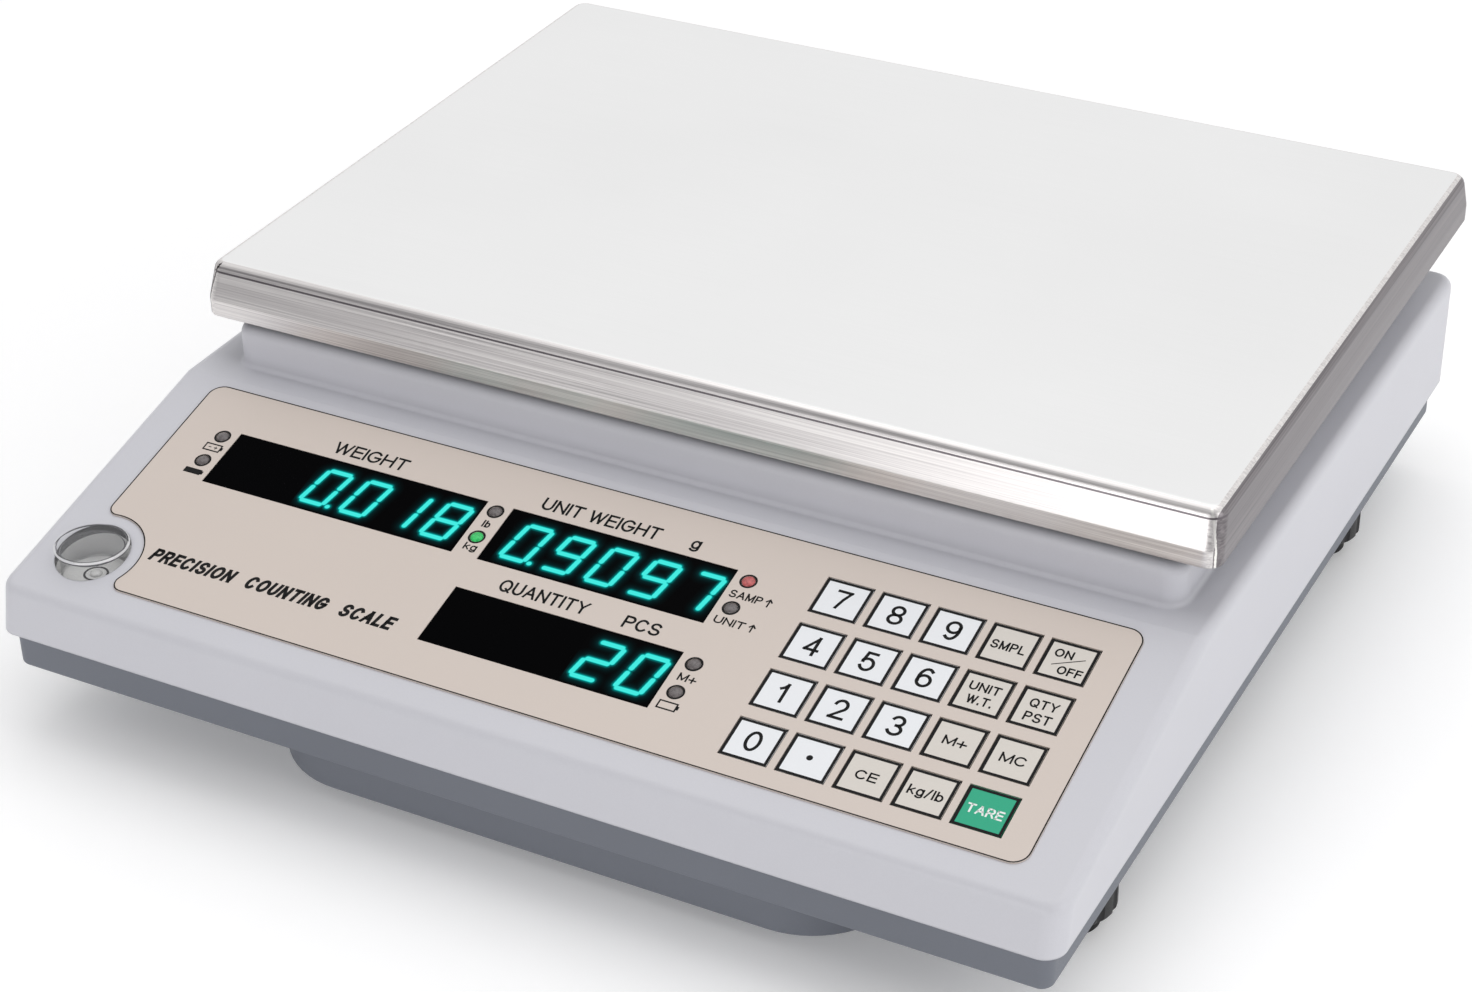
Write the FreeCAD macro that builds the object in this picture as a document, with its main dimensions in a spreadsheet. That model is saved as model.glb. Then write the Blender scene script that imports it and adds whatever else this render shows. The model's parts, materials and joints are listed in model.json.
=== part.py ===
"""Counting scale: a wedge-shaped bench scale with three displays, a keypad and a steel platter.

Lengths are in millimetres. The origin is the middle of the floor area that the scale covers,
+X points to the user's right, +Y to the back and +Z up. Every size is a cell of the sheet
"sizes", and the features and placements read those cells through expressions.

Panel pieces are drawn flat, in the panel's own directions (across, up the slope, out of the
panel), with the origin on the middle of the overlay's front edge, and are then tilted with it.
"""
import FreeCAD, Part
import Sketcher
import math
import os
import re

Vector = FreeCAD.Vector

SIZES = {
    # casing
    "cover_width": 345.7, "casing_shift": -1.15, "cover_front": -176.25, "cover_back": 165.75,
    "cover_wall": 3.0, "seam_height": 34.0, "front_lean": 3.2, "shoulder_height": 72.7,
    "panel_angle": 13.4, "kink_place": -73.4, "overlay_front": -162.7,
    "plateau_half": 160.5, "plateau_front": -64.0, "plateau_back": 155.0, "plateau_top": 87.0,
    "cover_corner": 6.5, "plateau_corner": 6.0,
    "base_bottom": 20.6, "base_inset": 3.2, "base_wall": 2.5, "base_lip": 3.5,
    "base_corner": 4.0, "base_round": 1.5,
    "bulge_left": -89.5, "bulge_right": 112.0, "bulge_front": -168.5, "bulge_back": -42.0,
    "bulge_bottom": 6.4, "bulge_corner": 29.0, "bulge_round": 2.0,
    # platter and what carries it
    "platter_width": 341.0, "platter_depth": 241.5, "platter_middle": 56.25, "platter_top": 106.0,
    "platter_rim": 17.0, "platter_sheet": 1.2, "platter_corner": 5.0,
    "rim_lean": 4.0, "side_lean": 1.0, "rim_bend": 11.5, "rim_round": 3.5,
    "cell_bottom": 40.0, "cell_height": 22.0, "cell_width": 30.0, "cell_length": 130.0,
    "cell_hole": 7.0, "cell_screw": 3.0, "spider_bottom": 90.0, "spider_thick": 5.0,
    "cushion_across": 138.0, "cushion_along": 86.0, "cushion_radius": 9.0, "rest_gap": 0.2,
    "hub_half": 18.0, "hub_front": 88.0, "hub_back": 120.5, "hub_room": 4.0,
    # chassis and feet
    "chassis_bottom": 29.0, "chassis_thick": 5.0, "rail_across": 140.0, "rail_wide": 18.0,
    "foot_across": 152.5, "foot_front": -117.5, "foot_back": 97.5,
    "knob_radius": 13.0, "knob_bottom": 6.0, "knob_thick": 10.0, "pad_radius": 8.6,
    "stud_radius": 3.95, "stud_top": 40.0, "insert_bore": 4.03, "insert_radius": 6.0,
    "spigot_radius": 4.0, "spigot_room": 0.05, "knob_gap": 0.3,
    # control panel
    "overlay_left": -159.2, "overlay_right": 156.2, "overlay_length": 88.0, "overlay_thick": 0.5,
    "overlay_drop": 0.6, "overlay_corner": 5.0, "notch_radius": 15.8,
    "window_tall": 22.2, "weight_wide": 90.0, "weight_middle": -93.0, "count_wide": 75.5,
    "count_middle": -1.2, "upper_row": 59.5, "lower_row": 25.1, "window_thick": 2.9,
    "window_gap": 0.15, "led_radius": 2.0, "led_above": 8.05, "led_below": -3.2,
    "key_wide": 14.5, "key_tall": 14.0, "key_pitch_across": 17.3, "key_pitch_up": 18.9,
    "key_first_across": 70.15, "key_last_up": 13.3, "key_gap": 0.3, "key_plate": 1.1,
    "key_stem": 3.8, "key_stem_radius": 4.0,
    "board_thick": 1.6, "keypad_board_depth": 7.1, "display_board_depth": 14.0,
    "dome_height": 0.4, "dome_radius": 5.0, "digits_tall": 8.4,
    # level
    "vial_across": -153.1, "vial_along": -152.3, "vial_radius": 11.5, "vial_top": 57.2,
    "vial_bottom": 46.0, "cup_bottom": 42.0, "cup_radius": 14.5,
    # electrics
    "inlet_across": -110.0, "inlet_height": 53.0, "switch_across": 156.5, "switch_along": -13.0,
    "switch_pivot": 22.6, "rocker_tilt": 9.0, "rocker_half": 7.5, "rocker_wide": 10.8,
    "pivot_radius": 0.9,
    "battery_wide": 134.0, "battery_deep": 66.0, "battery_tall": 34.0, "battery_across": 18.0,
    "battery_along": -91.0, "cable_radius": 2.0,
    # fasteners
    "post_radius": 4.0, "screw_head": 3.1, "screw_head_tall": 1.7, "screw_radius": 1.5,
    "screw_long": 10.0, "screw_room": 0.3,
}

KEY_ROWS = (
    ("key_7", "key_8", "key_9", "key_sample", "key_power"),
    ("key_4", "key_5", "key_6", "key_unit_weight", "key_quantity_preset"),
    ("key_1", "key_2", "key_3", "key_memory_add", "key_memory_clear"),
    ("key_0", "key_point", "key_clear_entry", "key_unit_switch", "key_tare"),
)
WINDOWS = (
    ("weight", "weight_middle", "weight_wide", "upper_row"),
    ("unit_weight", "count_middle", "count_wide", "upper_row"),
    ("quantity", "count_middle", "count_wide", "lower_row"),
)
LEDS = (
    ("weight_middle - weight_wide / 2 - 5.1", "upper_row"),
    ("weight_middle + weight_wide / 2 + 4.4", "upper_row"),
    ("count_middle + count_wide / 2 + 5.0", "upper_row"),
    ("count_middle + count_wide / 2 + 5.0", "lower_row"),
)
FEET = (
    ("front_left", "-foot_across", "foot_front"), ("front_right", "foot_across", "foot_front"),
    ("back_left", "-foot_across", "foot_back"), ("back_right", "foot_across", "foot_back"),
)
FRONT_POSTS = (("-125", "-165"), ("125", "-165"))
SIDE_POSTS = (("-162", "40"), ("162", "40"), ("-162", "152"), ("162", "152"))
DOOR_SCREWS = (("battery_across", "battery_along - 39"), ("battery_across", "battery_along + 39"))
KEYPAD_STANDOFFS = (("59.2", "5"), ("150.2", "5"), ("59.2", "79.5"), ("150.2", "79.5"))
DISPLAY_STANDOFFS = (("-130", "12"), ("47", "12"), ("-148", "74"), ("47", "74"))
BOARD_CORNERS = (("46", "-32"), ("114", "-32"), ("46", "99"), ("114", "99"))

doc = FreeCAD.newDocument("counting_scale")
sheet = doc.addObject("Spreadsheet::Sheet", "sizes")
for row, (alias, amount) in enumerate(SIZES.items(), start=1):
    sheet.set(f"A{row}", alias)
    sheet.set(f"B{row}", str(amount))
    sheet.setAlias(f"B{row}", alias)
doc.recompute()

NODES = {}


# ---------------------------------------------------------------- drawing helpers

def formula(text):
    """A formula in plain size names, with each name pointed at its cell."""
    return re.sub(r"[a-z]\w*", lambda m: "sizes." + m[0] if m[0] in SIZES else m[0], str(text))


def keep(name, shape_object):
    """Names a finished sub-part."""
    shape_object.Label = name
    NODES[name] = shape_object
    return shape_object


def new_body(name):
    return keep(name, doc.addObject("PartDesign::Body", name))


def move(shape_object, across="0", along="0", up="0"):
    for axis, text in zip("xyz", (across, along, up)):
        shape_object.setExpression(f"Placement.Base.{axis}", formula(text))


PANEL_RISE = "shoulder_height - (kink_place - overlay_front) * tan(panel_angle * 1 deg)"


def tilt(shape_object):
    """Lays a flat-drawn panel piece on the sloping panel."""
    turn = FreeCAD.Rotation(Vector(1, 0, 0), SIZES["panel_angle"])
    shape_object.Placement = FreeCAD.Placement(Vector(0, 0, 0), turn)
    shape_object.setExpression("Placement.Rotation.Angle", formula("panel_angle * 1 deg"))
    move(shape_object, "0", "overlay_front", PANEL_RISE)


def new_sketch(body, plane="XY_Plane", height="0", tilted=False):
    """A sketch on one of the body's own planes, at a height, or along the panel at a depth."""
    sketch = body.newObject("Sketcher::SketchObject", body.Name + "_sketch")
    origin_plane = next(f for f in body.Origin.OriginFeatures if f.Role == plane)
    sketch.AttachmentSupport = [(origin_plane, "")]
    sketch.MapMode = "FlatFace"
    if tilted:
        turn = FreeCAD.Rotation(Vector(1, 0, 0), SIZES["panel_angle"])
        sketch.AttachmentOffset = FreeCAD.Placement(Vector(0, 0, 0), turn)
        angle = "panel_angle * 1 deg"
        sketch.setExpression("AttachmentOffset.Rotation.Angle", formula(angle))
        back = formula(f"overlay_front - ({height}) * sin({angle})")
        lift = formula(f"{PANEL_RISE} + ({height}) * cos({angle})")
        sketch.setExpression("AttachmentOffset.Base.y", back)
        sketch.setExpression("AttachmentOffset.Base.z", lift)
    else:
        sketch.setExpression("AttachmentOffset.Base.z", formula(height))
    return sketch


def pin_point(sketch, geometry, point, across, up):
    for kind, text in (("DistanceX", across), ("DistanceY", up)):
        index = sketch.addConstraint(Sketcher.Constraint(kind, -1, 1, geometry, point, 1.0))
        sketch.setExpression(f"Constraints[{index}]", formula(text))


def outline(sketch, points):
    """A closed outline of straight lines whose corners are pairs of formulas."""
    first = sketch.GeometryCount
    count = len(points)
    start = [Vector(math.cos(math.tau * i / count), math.sin(math.tau * i / count), 0) * 50
             for i in range(count)]
    for i in range(count):
        sketch.addGeometry(Part.LineSegment(start[i], start[(i + 1) % count]))
    for i in range(count):
        after = first + (i + 1) % count
        sketch.addConstraint(Sketcher.Constraint("Coincident", first + i, 2, after, 1))
    for i, (across, up) in enumerate(points):
        pin_point(sketch, first + i, 1, across, up)


def rectangle(sketch, left, right, low, high):
    outline(sketch, ((left, low), (right, low), (right, high), (left, high)))


def cropped(sketch, left, right, low, high, snip):
    """A rectangle with its corners cut off."""
    outline(sketch, (
        (f"{left} + {snip}", low), (f"{right} - {snip}", low),
        (right, f"{low} + {snip}"), (right, f"{high} - {snip}"),
        (f"{right} - {snip}", high), (f"{left} + {snip}", high),
        (left, f"{high} - {snip}"), (left, f"{low} + {snip}")))


def centred(sketch, across, up, wide, tall):
    rectangle(sketch, f"{across} - ({wide}) / 2", f"{across} + ({wide}) / 2",
              f"{up} - ({tall}) / 2", f"{up} + ({tall}) / 2")


def circle(sketch, across, up, radius):
    index = sketch.addGeometry(Part.Circle(Vector(1, 1, 0), Vector(0, 0, 1), 1.0))
    pin_point(sketch, index, 3, across, up)
    size = sketch.addConstraint(Sketcher.Constraint("Radius", index, 1.0))
    sketch.setExpression(f"Constraints[{size}]", formula(radius))


def extrude(body, kind, sketch, length, flip=False, both_ways=False):
    """A Pad that goes up from its sketch, or a Pocket that goes down, unless it is flipped."""
    feature = body.newObject("PartDesign::" + kind, f"{body.Name}_{kind.lower()}")
    feature.Profile = sketch
    feature.setExpression("Length", formula(length))
    if both_ways:
        feature.SideType = "Symmetric"
    feature.Reversed = flip
    before = body.Shape.Volume if body.Shape.Solids else 0.0
    doc.recompute()
    gained = feature.Shape.Volume - before
    wanted = gained if kind == "Pad" else -gained
    if wanted < 0.01:
        raise RuntimeError(f"{feature.Name} changed the volume by {gained:.3f}")
    return feature


def edges_where(feature, test):
    return [f"Edge{i}" for i, edge in enumerate(feature.Shape.Edges, 1) if test(edge)]


def soften(body, kind, feature, test, size):
    """A Fillet or a Chamfer on the edges that pass the test."""
    chosen = edges_where(feature, test)
    if not chosen:
        raise RuntimeError(f"{body.Name}: no edge to soften")
    result = body.newObject("PartDesign::" + kind, f"{body.Name}_{kind.lower()}")
    result.Base = (feature, chosen)
    result.setExpression("Radius" if kind == "Fillet" else "Size", formula(size))
    doc.recompute()
    return result


def near(value, *targets):
    return any(abs(value - target) < 0.05 for target in targets)


def middle(edge):
    return edge.CenterOfMass


def span(edge):
    box = edge.BoundBox
    return Vector(box.XLength, box.YLength, box.ZLength)


def upright(edge):
    return span(edge).z > 0.3 and span(edge).x < 0.05 and span(edge).y < 0.05


def box(wide, deep, tall, across, along, up):
    """A Part box, given by its sizes, its middle in plan and its underside."""
    solid = doc.addObject("Part::Box", "box")
    for name, text in (("Length", wide), ("Width", deep), ("Height", tall)):
        solid.setExpression(name, formula(text))
    move(solid, f"({across}) - ({wide}) / 2", f"({along}) - ({deep}) / 2", up)
    return solid


def rod(radius, tall, across, along, up):
    """A Part cylinder that stands on a point."""
    solid = doc.addObject("Part::Cylinder", "rod")
    solid.setExpression("Radius", formula(radius))
    solid.setExpression("Height", formula(tall))
    move(solid, across, along, up)
    return solid


def joined(*solids):
    """Solids fused into one, or kept apart where they don't touch."""
    if len(solids) == 1:
        return solids[0]
    fuse = doc.addObject("Part::MultiFuse", "joined")
    fuse.Shapes = list(solids)
    return fuse


def cut(solid, *tools):
    result = doc.addObject("Part::Cut", "cut")
    result.Base = solid
    result.Tool = joined(*tools)
    return result


def key_places():
    for row, names in enumerate(KEY_ROWS):
        for column, name in enumerate(names):
            across = f"key_first_across + {column} * key_pitch_across"
            up = f"key_last_up + {len(KEY_ROWS) - 1 - row} * key_pitch_up"
            yield name, across, up


def led_places():
    for across, up in LEDS:
        yield across, f"{up} + led_above"
        yield across, f"{up} + led_below"


# ---------------------------------------------------------------- casing

def make_top_cover():
    body = new_body("top_cover")
    half, shift = SIZES["cover_width"] / 2, SIZES["casing_shift"]
    kink_drop = "(kink_place - cover_front - front_lean) * tan(panel_angle * 1 deg)"
    front_top = f"shoulder_height - {kink_drop}"
    profile = new_sketch(body, "YZ_Plane", "casing_shift")
    outline(profile, (
        ("cover_front", "seam_height"), ("cover_front + front_lean", front_top),
        ("kink_place", "shoulder_height"), ("cover_back", "shoulder_height"),
        ("cover_back", "seam_height")))
    shell = extrude(body, "Pad", profile, "cover_width", both_ways=True)
    shell = soften(body, "Fillet", shell, lambda e: near(abs(middle(e).x - shift), half)
                   and span(e).z > 5 and span(e).y < 5, "cover_corner")
    low = SIZES["seam_height"] + 1
    shell = soften(body, "Fillet", shell, lambda e: e.BoundBox.ZMin > low
                   and not (near(middle(e).y, SIZES["kink_place"]) and span(e).y < 0.1)
                   and (near(abs(middle(e).x - shift), half) or span(e).x > 50), "3.5")

    deck = new_sketch(body, height="shoulder_height - 1")
    rectangle(deck, "-plateau_half", "plateau_half", "plateau_front", "plateau_back")
    shell = extrude(body, "Pad", deck, "plateau_top - shoulder_height + 1")
    shell = soften(body, "Fillet", shell, lambda e: upright(e)
                   and near(abs(middle(e).x), SIZES["plateau_half"]), "plateau_corner")
    shell = soften(body, "Fillet", shell, lambda e: near(middle(e).z, SIZES["plateau_top"]), "4")
    shell = soften(body, "Fillet", shell, lambda e: near(middle(e).z, SIZES["shoulder_height"])
                   and abs(middle(e).x) < SIZES["plateau_half"] + 0.1
                   and span(e).z < 0.01 and middle(e).y > SIZES["plateau_front"] - 0.1
                   and middle(e).y < SIZES["plateau_back"] + 0.1, "1.5")

    hollow = new_sketch(body, "YZ_Plane", "casing_shift")
    under = "cover_wall / cos(panel_angle * 1 deg)"
    rise = "(kink_place - cover_front - front_lean - cover_wall) * tan(panel_angle * 1 deg)"
    outline(hollow, (
        ("cover_front + cover_wall", "seam_height - 1"),
        ("cover_front + cover_wall", "seam_height + base_lip + 0.5"),
        ("cover_front + front_lean + cover_wall", f"shoulder_height - {rise} - {under}"),
        ("kink_place", f"shoulder_height - {under}"),
        ("cover_back - cover_wall", f"shoulder_height - {under}"),
        ("cover_back - cover_wall", "seam_height - 1")))
    shell = extrude(body, "Pocket", hollow, "cover_width - 2 * cover_wall", both_ways=True)
    inner = half - SIZES["cover_wall"]
    shell = soften(body, "Fillet", shell, lambda e: near(abs(middle(e).x - shift), inner)
                   and span(e).z > 5 and span(e).y < 5, "cover_corner - cover_wall")
    attic = new_sketch(body, height="plateau_top - cover_wall")
    cropped(attic, "(cover_wall - plateau_half)", "(plateau_half - cover_wall)",
            "(plateau_front + cover_wall)", "(plateau_back - cover_wall)", "plateau_corner / 2")
    extrude(body, "Pocket", attic, "plateau_top - shoulder_height + 1")

    openings = new_sketch(body, height="1", tilted=True)
    for _, across, wide, up in WINDOWS:
        centred(openings, across, up, f"{wide} + 2 * window_gap", "window_tall + 2 * window_gap")
    for _, across, up in key_places():
        centred(openings, across, up, "key_wide + 2 * key_gap", "key_tall + 2 * key_gap")
    for across, up in led_places():
        circle(openings, across, up, "led_radius + window_gap")
    extrude(body, "Pocket", openings, "cover_wall + 2")

    vial_hole = new_sketch(body, height="vial_top + 5")
    circle(vial_hole, "vial_across", "vial_along", "vial_radius + 0.15")
    extrude(body, "Pocket", vial_hole, "18")
    hub_hole = new_sketch(body, height="plateau_top + 1")
    rectangle(hub_hole, "-hub_half - hub_room", "hub_half + hub_room",
              "hub_front - hub_room", "hub_back + hub_room")
    extrude(body, "Pocket", hub_hole, "cover_wall + 2")
    inlet_hole = new_sketch(body, "XZ_Plane", "-cover_back - 1")
    centred(inlet_hole, "inlet_across", "inlet_height", "27.4", "20.4")
    extrude(body, "Pocket", inlet_hole, "cover_wall + 2", flip=True)

    for places, top in ((FRONT_POSTS, "49"), (SIDE_POSTS, "shoulder_height - 1")):
        posts = new_sketch(body, height="base_bottom + 3")
        for across, along in places:
            circle(posts, across, along, "post_radius")
        extrude(body, "Pad", posts, f"{top} - base_bottom - 3")
    pilot = new_sketch(body, height="base_bottom + 3")
    for across, along in FRONT_POSTS + SIDE_POSTS:
        circle(pilot, across, along, "screw_radius + 0.02")
    extrude(body, "Pocket", pilot, "12", flip=True)
    for places, depth in ((KEYPAD_STANDOFFS, "keypad_board_depth"),
                          (DISPLAY_STANDOFFS, "display_board_depth")):
        length = f"{depth} - board_thick - cover_wall"
        standoffs = new_sketch(body, height="-cover_wall + 0.5", tilted=True)
        for across, up in places:
            circle(standoffs, across, up, "2.5")
        extrude(body, "Pad", standoffs, f"{length} + 0.5", flip=True)
        holes = new_sketch(body, height=f"board_thick - {depth}", tilted=True)
        for across, up in places:
            circle(holes, across, up, "1.02")
        extrude(body, "Pocket", holes, "4", flip=True)


def make_base_pan():
    body = new_body("base_pan")
    left = "casing_shift + base_inset - cover_width / 2"
    right = "casing_shift + cover_width / 2 - base_inset"
    shift = SIZES["casing_shift"]
    front, back = "cover_front + base_inset", "cover_back - base_inset"
    half = SIZES["cover_width"] / 2 - SIZES["base_inset"]
    floor = new_sketch(body, height="base_bottom")
    rectangle(floor, left, right, front, back)
    pan = extrude(body, "Pad", floor, "seam_height + base_lip - base_bottom")
    pan = soften(body, "Fillet", pan, upright, "base_corner")
    pan = soften(body, "Fillet", pan, lambda e: near(middle(e).z, SIZES["base_bottom"]),
                 "base_round")
    bulge = new_sketch(body, height="base_bottom")
    rectangle(bulge, "bulge_left", "bulge_right", "bulge_front", "bulge_back")
    pan = extrude(body, "Pad", bulge, "base_bottom - bulge_bottom", flip=True)
    pan = soften(body, "Fillet", pan, lambda e: upright(e)
                 and middle(e).z < SIZES["base_bottom"], "bulge_corner")
    pan = soften(body, "Fillet", pan, lambda e: near(middle(e).z, SIZES["bulge_bottom"]),
                 "bulge_round")

    hollow = new_sketch(body, height="seam_height + base_lip")
    rectangle(hollow, f"{left} + base_wall", f"{right} - base_wall",
              f"{front} + base_wall", f"{back} - base_wall")
    pan = extrude(body, "Pocket", hollow, "seam_height + base_lip - base_bottom - base_wall")
    inner = half - SIZES["base_wall"]
    pan = soften(body, "Fillet", pan, lambda e: upright(e)
                 and near(abs(middle(e).x - shift), inner),
                 "base_corner - base_wall")
    well = new_sketch(body, height="base_bottom + base_wall")
    cropped(well, "(bulge_left + base_wall)", "(bulge_right - base_wall)",
            "(bulge_front + base_wall)", "(bulge_back - base_wall)", "bulge_corner * 0.7")
    extrude(body, "Pocket", well, "base_bottom - bulge_bottom")

    bosses = new_sketch(body, height="base_bottom - 2")
    for _, across, along in FEET:
        circle(bosses, across, along, "insert_radius + 3")
    extrude(body, "Pad", bosses, "chassis_bottom - base_bottom + 2")
    insert_holes = new_sketch(body, height="chassis_bottom")
    for _, across, along in FEET:
        circle(insert_holes, across, along, "insert_radius")
    extrude(body, "Pocket", insert_holes, "chassis_bottom - base_bottom + 3")

    screw_places = FRONT_POSTS + SIDE_POSTS
    seats = new_sketch(body, height="base_bottom + 1")
    for across, along in screw_places:
        circle(seats, across, along, "6")
    extrude(body, "Pad", seats, "2")
    sinks = new_sketch(body, height="base_bottom")
    for across, along in screw_places:
        circle(sinks, across, along, "screw_head + screw_room")
    extrude(body, "Pocket", sinks, "screw_head_tall + 0.1", flip=True)
    holes = new_sketch(body, height="base_bottom")
    for across, along in screw_places:
        circle(holes, across, along, "screw_radius + screw_room")
    extrude(body, "Pocket", holes, "4", flip=True)

    step = new_sketch(body, height="bulge_bottom")
    centred(step, "battery_across", "battery_along", "154.6", "86.6")
    extrude(body, "Pocket", step, "1.5", flip=True)
    hatch = new_sketch(body, height="bulge_bottom")
    centred(hatch, "battery_across", "battery_along", "138", "70")
    for across, along in DOOR_SCREWS:
        circle(hatch, across, along, "screw_radius + 0.02")
    extrude(body, "Pocket", hatch, "4", flip=True)
    switch_hole = new_sketch(body, height="base_bottom - 1")
    centred(switch_hole, "switch_across", "switch_along", "13.4", "19.4")
    extrude(body, "Pocket", switch_hole, "6", flip=True)


def make_battery_door():
    body = new_body("battery_door")
    plate = new_sketch(body, height="bulge_bottom")
    centred(plate, "battery_across", "battery_along", "154", "86")
    door = extrude(body, "Pad", plate, "1.4")
    soften(body, "Fillet", door, upright, "2")
    holes = new_sketch(body, height="bulge_bottom")
    for across, along in DOOR_SCREWS:
        circle(holes, across, along, "screw_radius + screw_room")
    extrude(body, "Pocket", holes, "2", flip=True)


# ---------------------------------------------------------------- control panel

def make_overlay():
    body = new_body("control_overlay")
    tilt(body)
    sheet_outline = new_sketch(body)
    rectangle(sheet_outline, "overlay_left", "overlay_right", "-overlay_drop", "overlay_length")
    film = extrude(body, "Pad", sheet_outline, "overlay_thick")
    film = soften(body, "Fillet", film, upright, "overlay_corner")
    notch = new_sketch(body, height="overlay_thick")
    circle(notch, "vial_across", "(vial_along - overlay_front) / cos(panel_angle * 1 deg)",
           "notch_radius")
    film = extrude(body, "Pocket", notch, "overlay_thick")
    film = soften(body, "Fillet", film, lambda e: upright(e) and e.Length < 1
                  and middle(e).x < -130 and middle(e).y < 40, "3.5")
    openings = new_sketch(body, height="overlay_thick")
    for _, across, wide, up in WINDOWS:
        centred(openings, across, up, f"{wide} + 2 * window_gap", "window_tall + 2 * window_gap")
    for _, across, up in key_places():
        centred(openings, across, up, "key_wide + 2 * key_gap", "key_tall + 2 * key_gap")
    for across, up in led_places():
        circle(openings, across, up, "led_radius + window_gap")
    extrude(body, "Pocket", openings, "overlay_thick")


def make_windows():
    for name, across, wide, up in WINDOWS:
        pane = box(wide, "window_tall", "window_thick", across, up, "overlay_thick - window_thick")
        glazing = cut(pane, box(f"{wide} + 1", "window_tall + 1", "0.1", across, up,
                                "overlay_thick - 0.1"))
        tilt(keep(name + "_window", glazing))


def make_keys():
    for name, across, up in key_places():
        body = new_body(name)
        tilt(body)
        face = new_sketch(body, height="overlay_thick - key_plate")
        centred(face, across, up, "key_wide", "key_tall")
        key = extrude(body, "Pad", face, "key_plate")
        key = soften(body, "Fillet", key, upright, "0.6")
        top = SIZES["overlay_thick"]
        soften(body, "Fillet", key, lambda e, top=top: near(middle(e).z, top), "0.15")
        stem = new_sketch(body, height="overlay_thick - key_plate")
        circle(stem, across, up, "key_stem_radius")
        extrude(body, "Pad", stem, "key_stem", flip=True)


def make_panel_boards():
    board = new_body("keypad_board")
    tilt(board)
    plate = new_sketch(board, height="-keypad_board_depth")
    rectangle(plate, "56", "153.5", "1.8", "82.5")
    extrude(board, "Pad", plate, "board_thick")
    holes = new_sketch(board, height="-keypad_board_depth")
    for across, up in KEYPAD_STANDOFFS:
        circle(holes, across, up, "1.3")
    extrude(board, "Pocket", holes, "board_thick + 1", flip=True)

    domes = [rod("dome_radius", "dome_height", across, up, "board_thick - keypad_board_depth")
             for _, across, up in key_places()]
    tilt(keep("key_domes", joined(*domes)))

    board = new_body("display_board")
    tilt(board)
    plate = new_sketch(board, height="-display_board_depth")
    outline(plate, (("-134.5", "8"), ("51", "8"), ("51", "77.5"), ("-152", "77.5"),
                    ("-152", "34"), ("-134.5", "34")))
    extrude(board, "Pad", plate, "board_thick")
    holes = new_sketch(board, height="-display_board_depth")
    for across, up in DISPLAY_STANDOFFS:
        circle(holes, across, up, "1.3")
    extrude(board, "Pocket", holes, "board_thick + 1", flip=True)

    digits = [box(f"{wide} - 4", "window_tall - 3", "digits_tall", across, up,
                  "board_thick - display_board_depth") for _, across, wide, up in WINDOWS]
    tilt(keep("digit_modules", joined(*digits)))
    leds = []
    for across, up in led_places():
        foot = "board_thick - display_board_depth"
        length = "display_board_depth - board_thick + overlay_thick - 0.2"
        leds.append(rod("led_radius", length, across, up, foot))
    tilt(keep("indicator_leds", joined(*leds)))


def make_level():
    body = new_body("level_vial")
    disc = new_sketch(body, height="vial_bottom")
    circle(disc, "vial_across", "vial_along", "vial_radius")
    vial = extrude(body, "Pad", disc, "vial_top - vial_bottom")
    vial = soften(body, "Fillet", vial, lambda e: near(middle(e).z, SIZES["vial_top"]), "0.6")
    room = new_sketch(body, height="vial_bottom")
    circle(room, "vial_across", "vial_along", "vial_radius - 1.4")
    extrude(body, "Pocket", room, "vial_top - vial_bottom - 1.6", flip=True)

    cup = rod("cup_radius", "20", "vial_across", "vial_along", "cup_bottom")
    seat = rod("vial_radius + 0.05", "20", "vial_across", "vial_along", "vial_bottom")
    above = doc.addObject("Part::Box", "above_panel")
    for name in ("Length", "Width", "Height"):
        above.setExpression(name, "100")
    turn = FreeCAD.Rotation(Vector(1, 0, 0), SIZES["panel_angle"])
    above.Placement = FreeCAD.Placement(Vector(0, 0, 0), turn)
    above.setExpression("Placement.Rotation.Angle", formula("panel_angle * 1 deg"))
    move(above, "vial_across - 50", "vial_along - 50",
         "shoulder_height - (kink_place - vial_along + 50) * tan(panel_angle * 1 deg)"
         " - (cover_wall + 0.1) / cos(panel_angle * 1 deg)")
    keep("level_cup", cut(cup, seat, above))


# ---------------------------------------------------------------- weighing works

def pan_shape(body, shrink, top):
    """A flat-topped pan drawn smaller all round by one amount.

    Its front and back rims lean in above a knee, its side rims lean in less, and its corners
    and its top edge are rounded.
    """
    low, level = "platter_top - platter_rim", f"platter_top - {top}"
    knee = f"{level} - rim_bend"
    front = f"platter_middle - platter_depth / 2 + {shrink}"
    rear = f"platter_middle + platter_depth / 2 - {shrink}"
    side = f"platter_width / 2 - {shrink}"
    profile = new_sketch(body, "YZ_Plane")
    outline(profile, ((front, low), (rear, low), (rear, knee), (f"{rear} - rim_lean", level),
                      (f"{front} + rim_lean", level), (front, knee)))
    extrude(body, "Pad", profile, f"2 * ({side})", both_ways=True)
    wedges = new_sketch(body, "XZ_Plane")
    for hand in ("-", ""):
        outline(wedges, ((f"{hand}({side})", knee), (f"{hand}({side} - side_lean)", level),
                         (f"{hand}({side} + 1)", level)))
    pan = extrude(body, "Pocket", wedges, "3 * platter_depth", both_ways=True)
    pan = soften(body, "Fillet", pan, lambda e: span(e).z > 0.3, f"platter_corner - {shrink}")
    height = SIZES["platter_top"] - SIZES.get(top, 0)
    return soften(body, "Fillet", pan, lambda e: near(middle(e).z, height)
                  and span(e).z < 0.01, f"rim_round - {shrink}")


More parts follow.
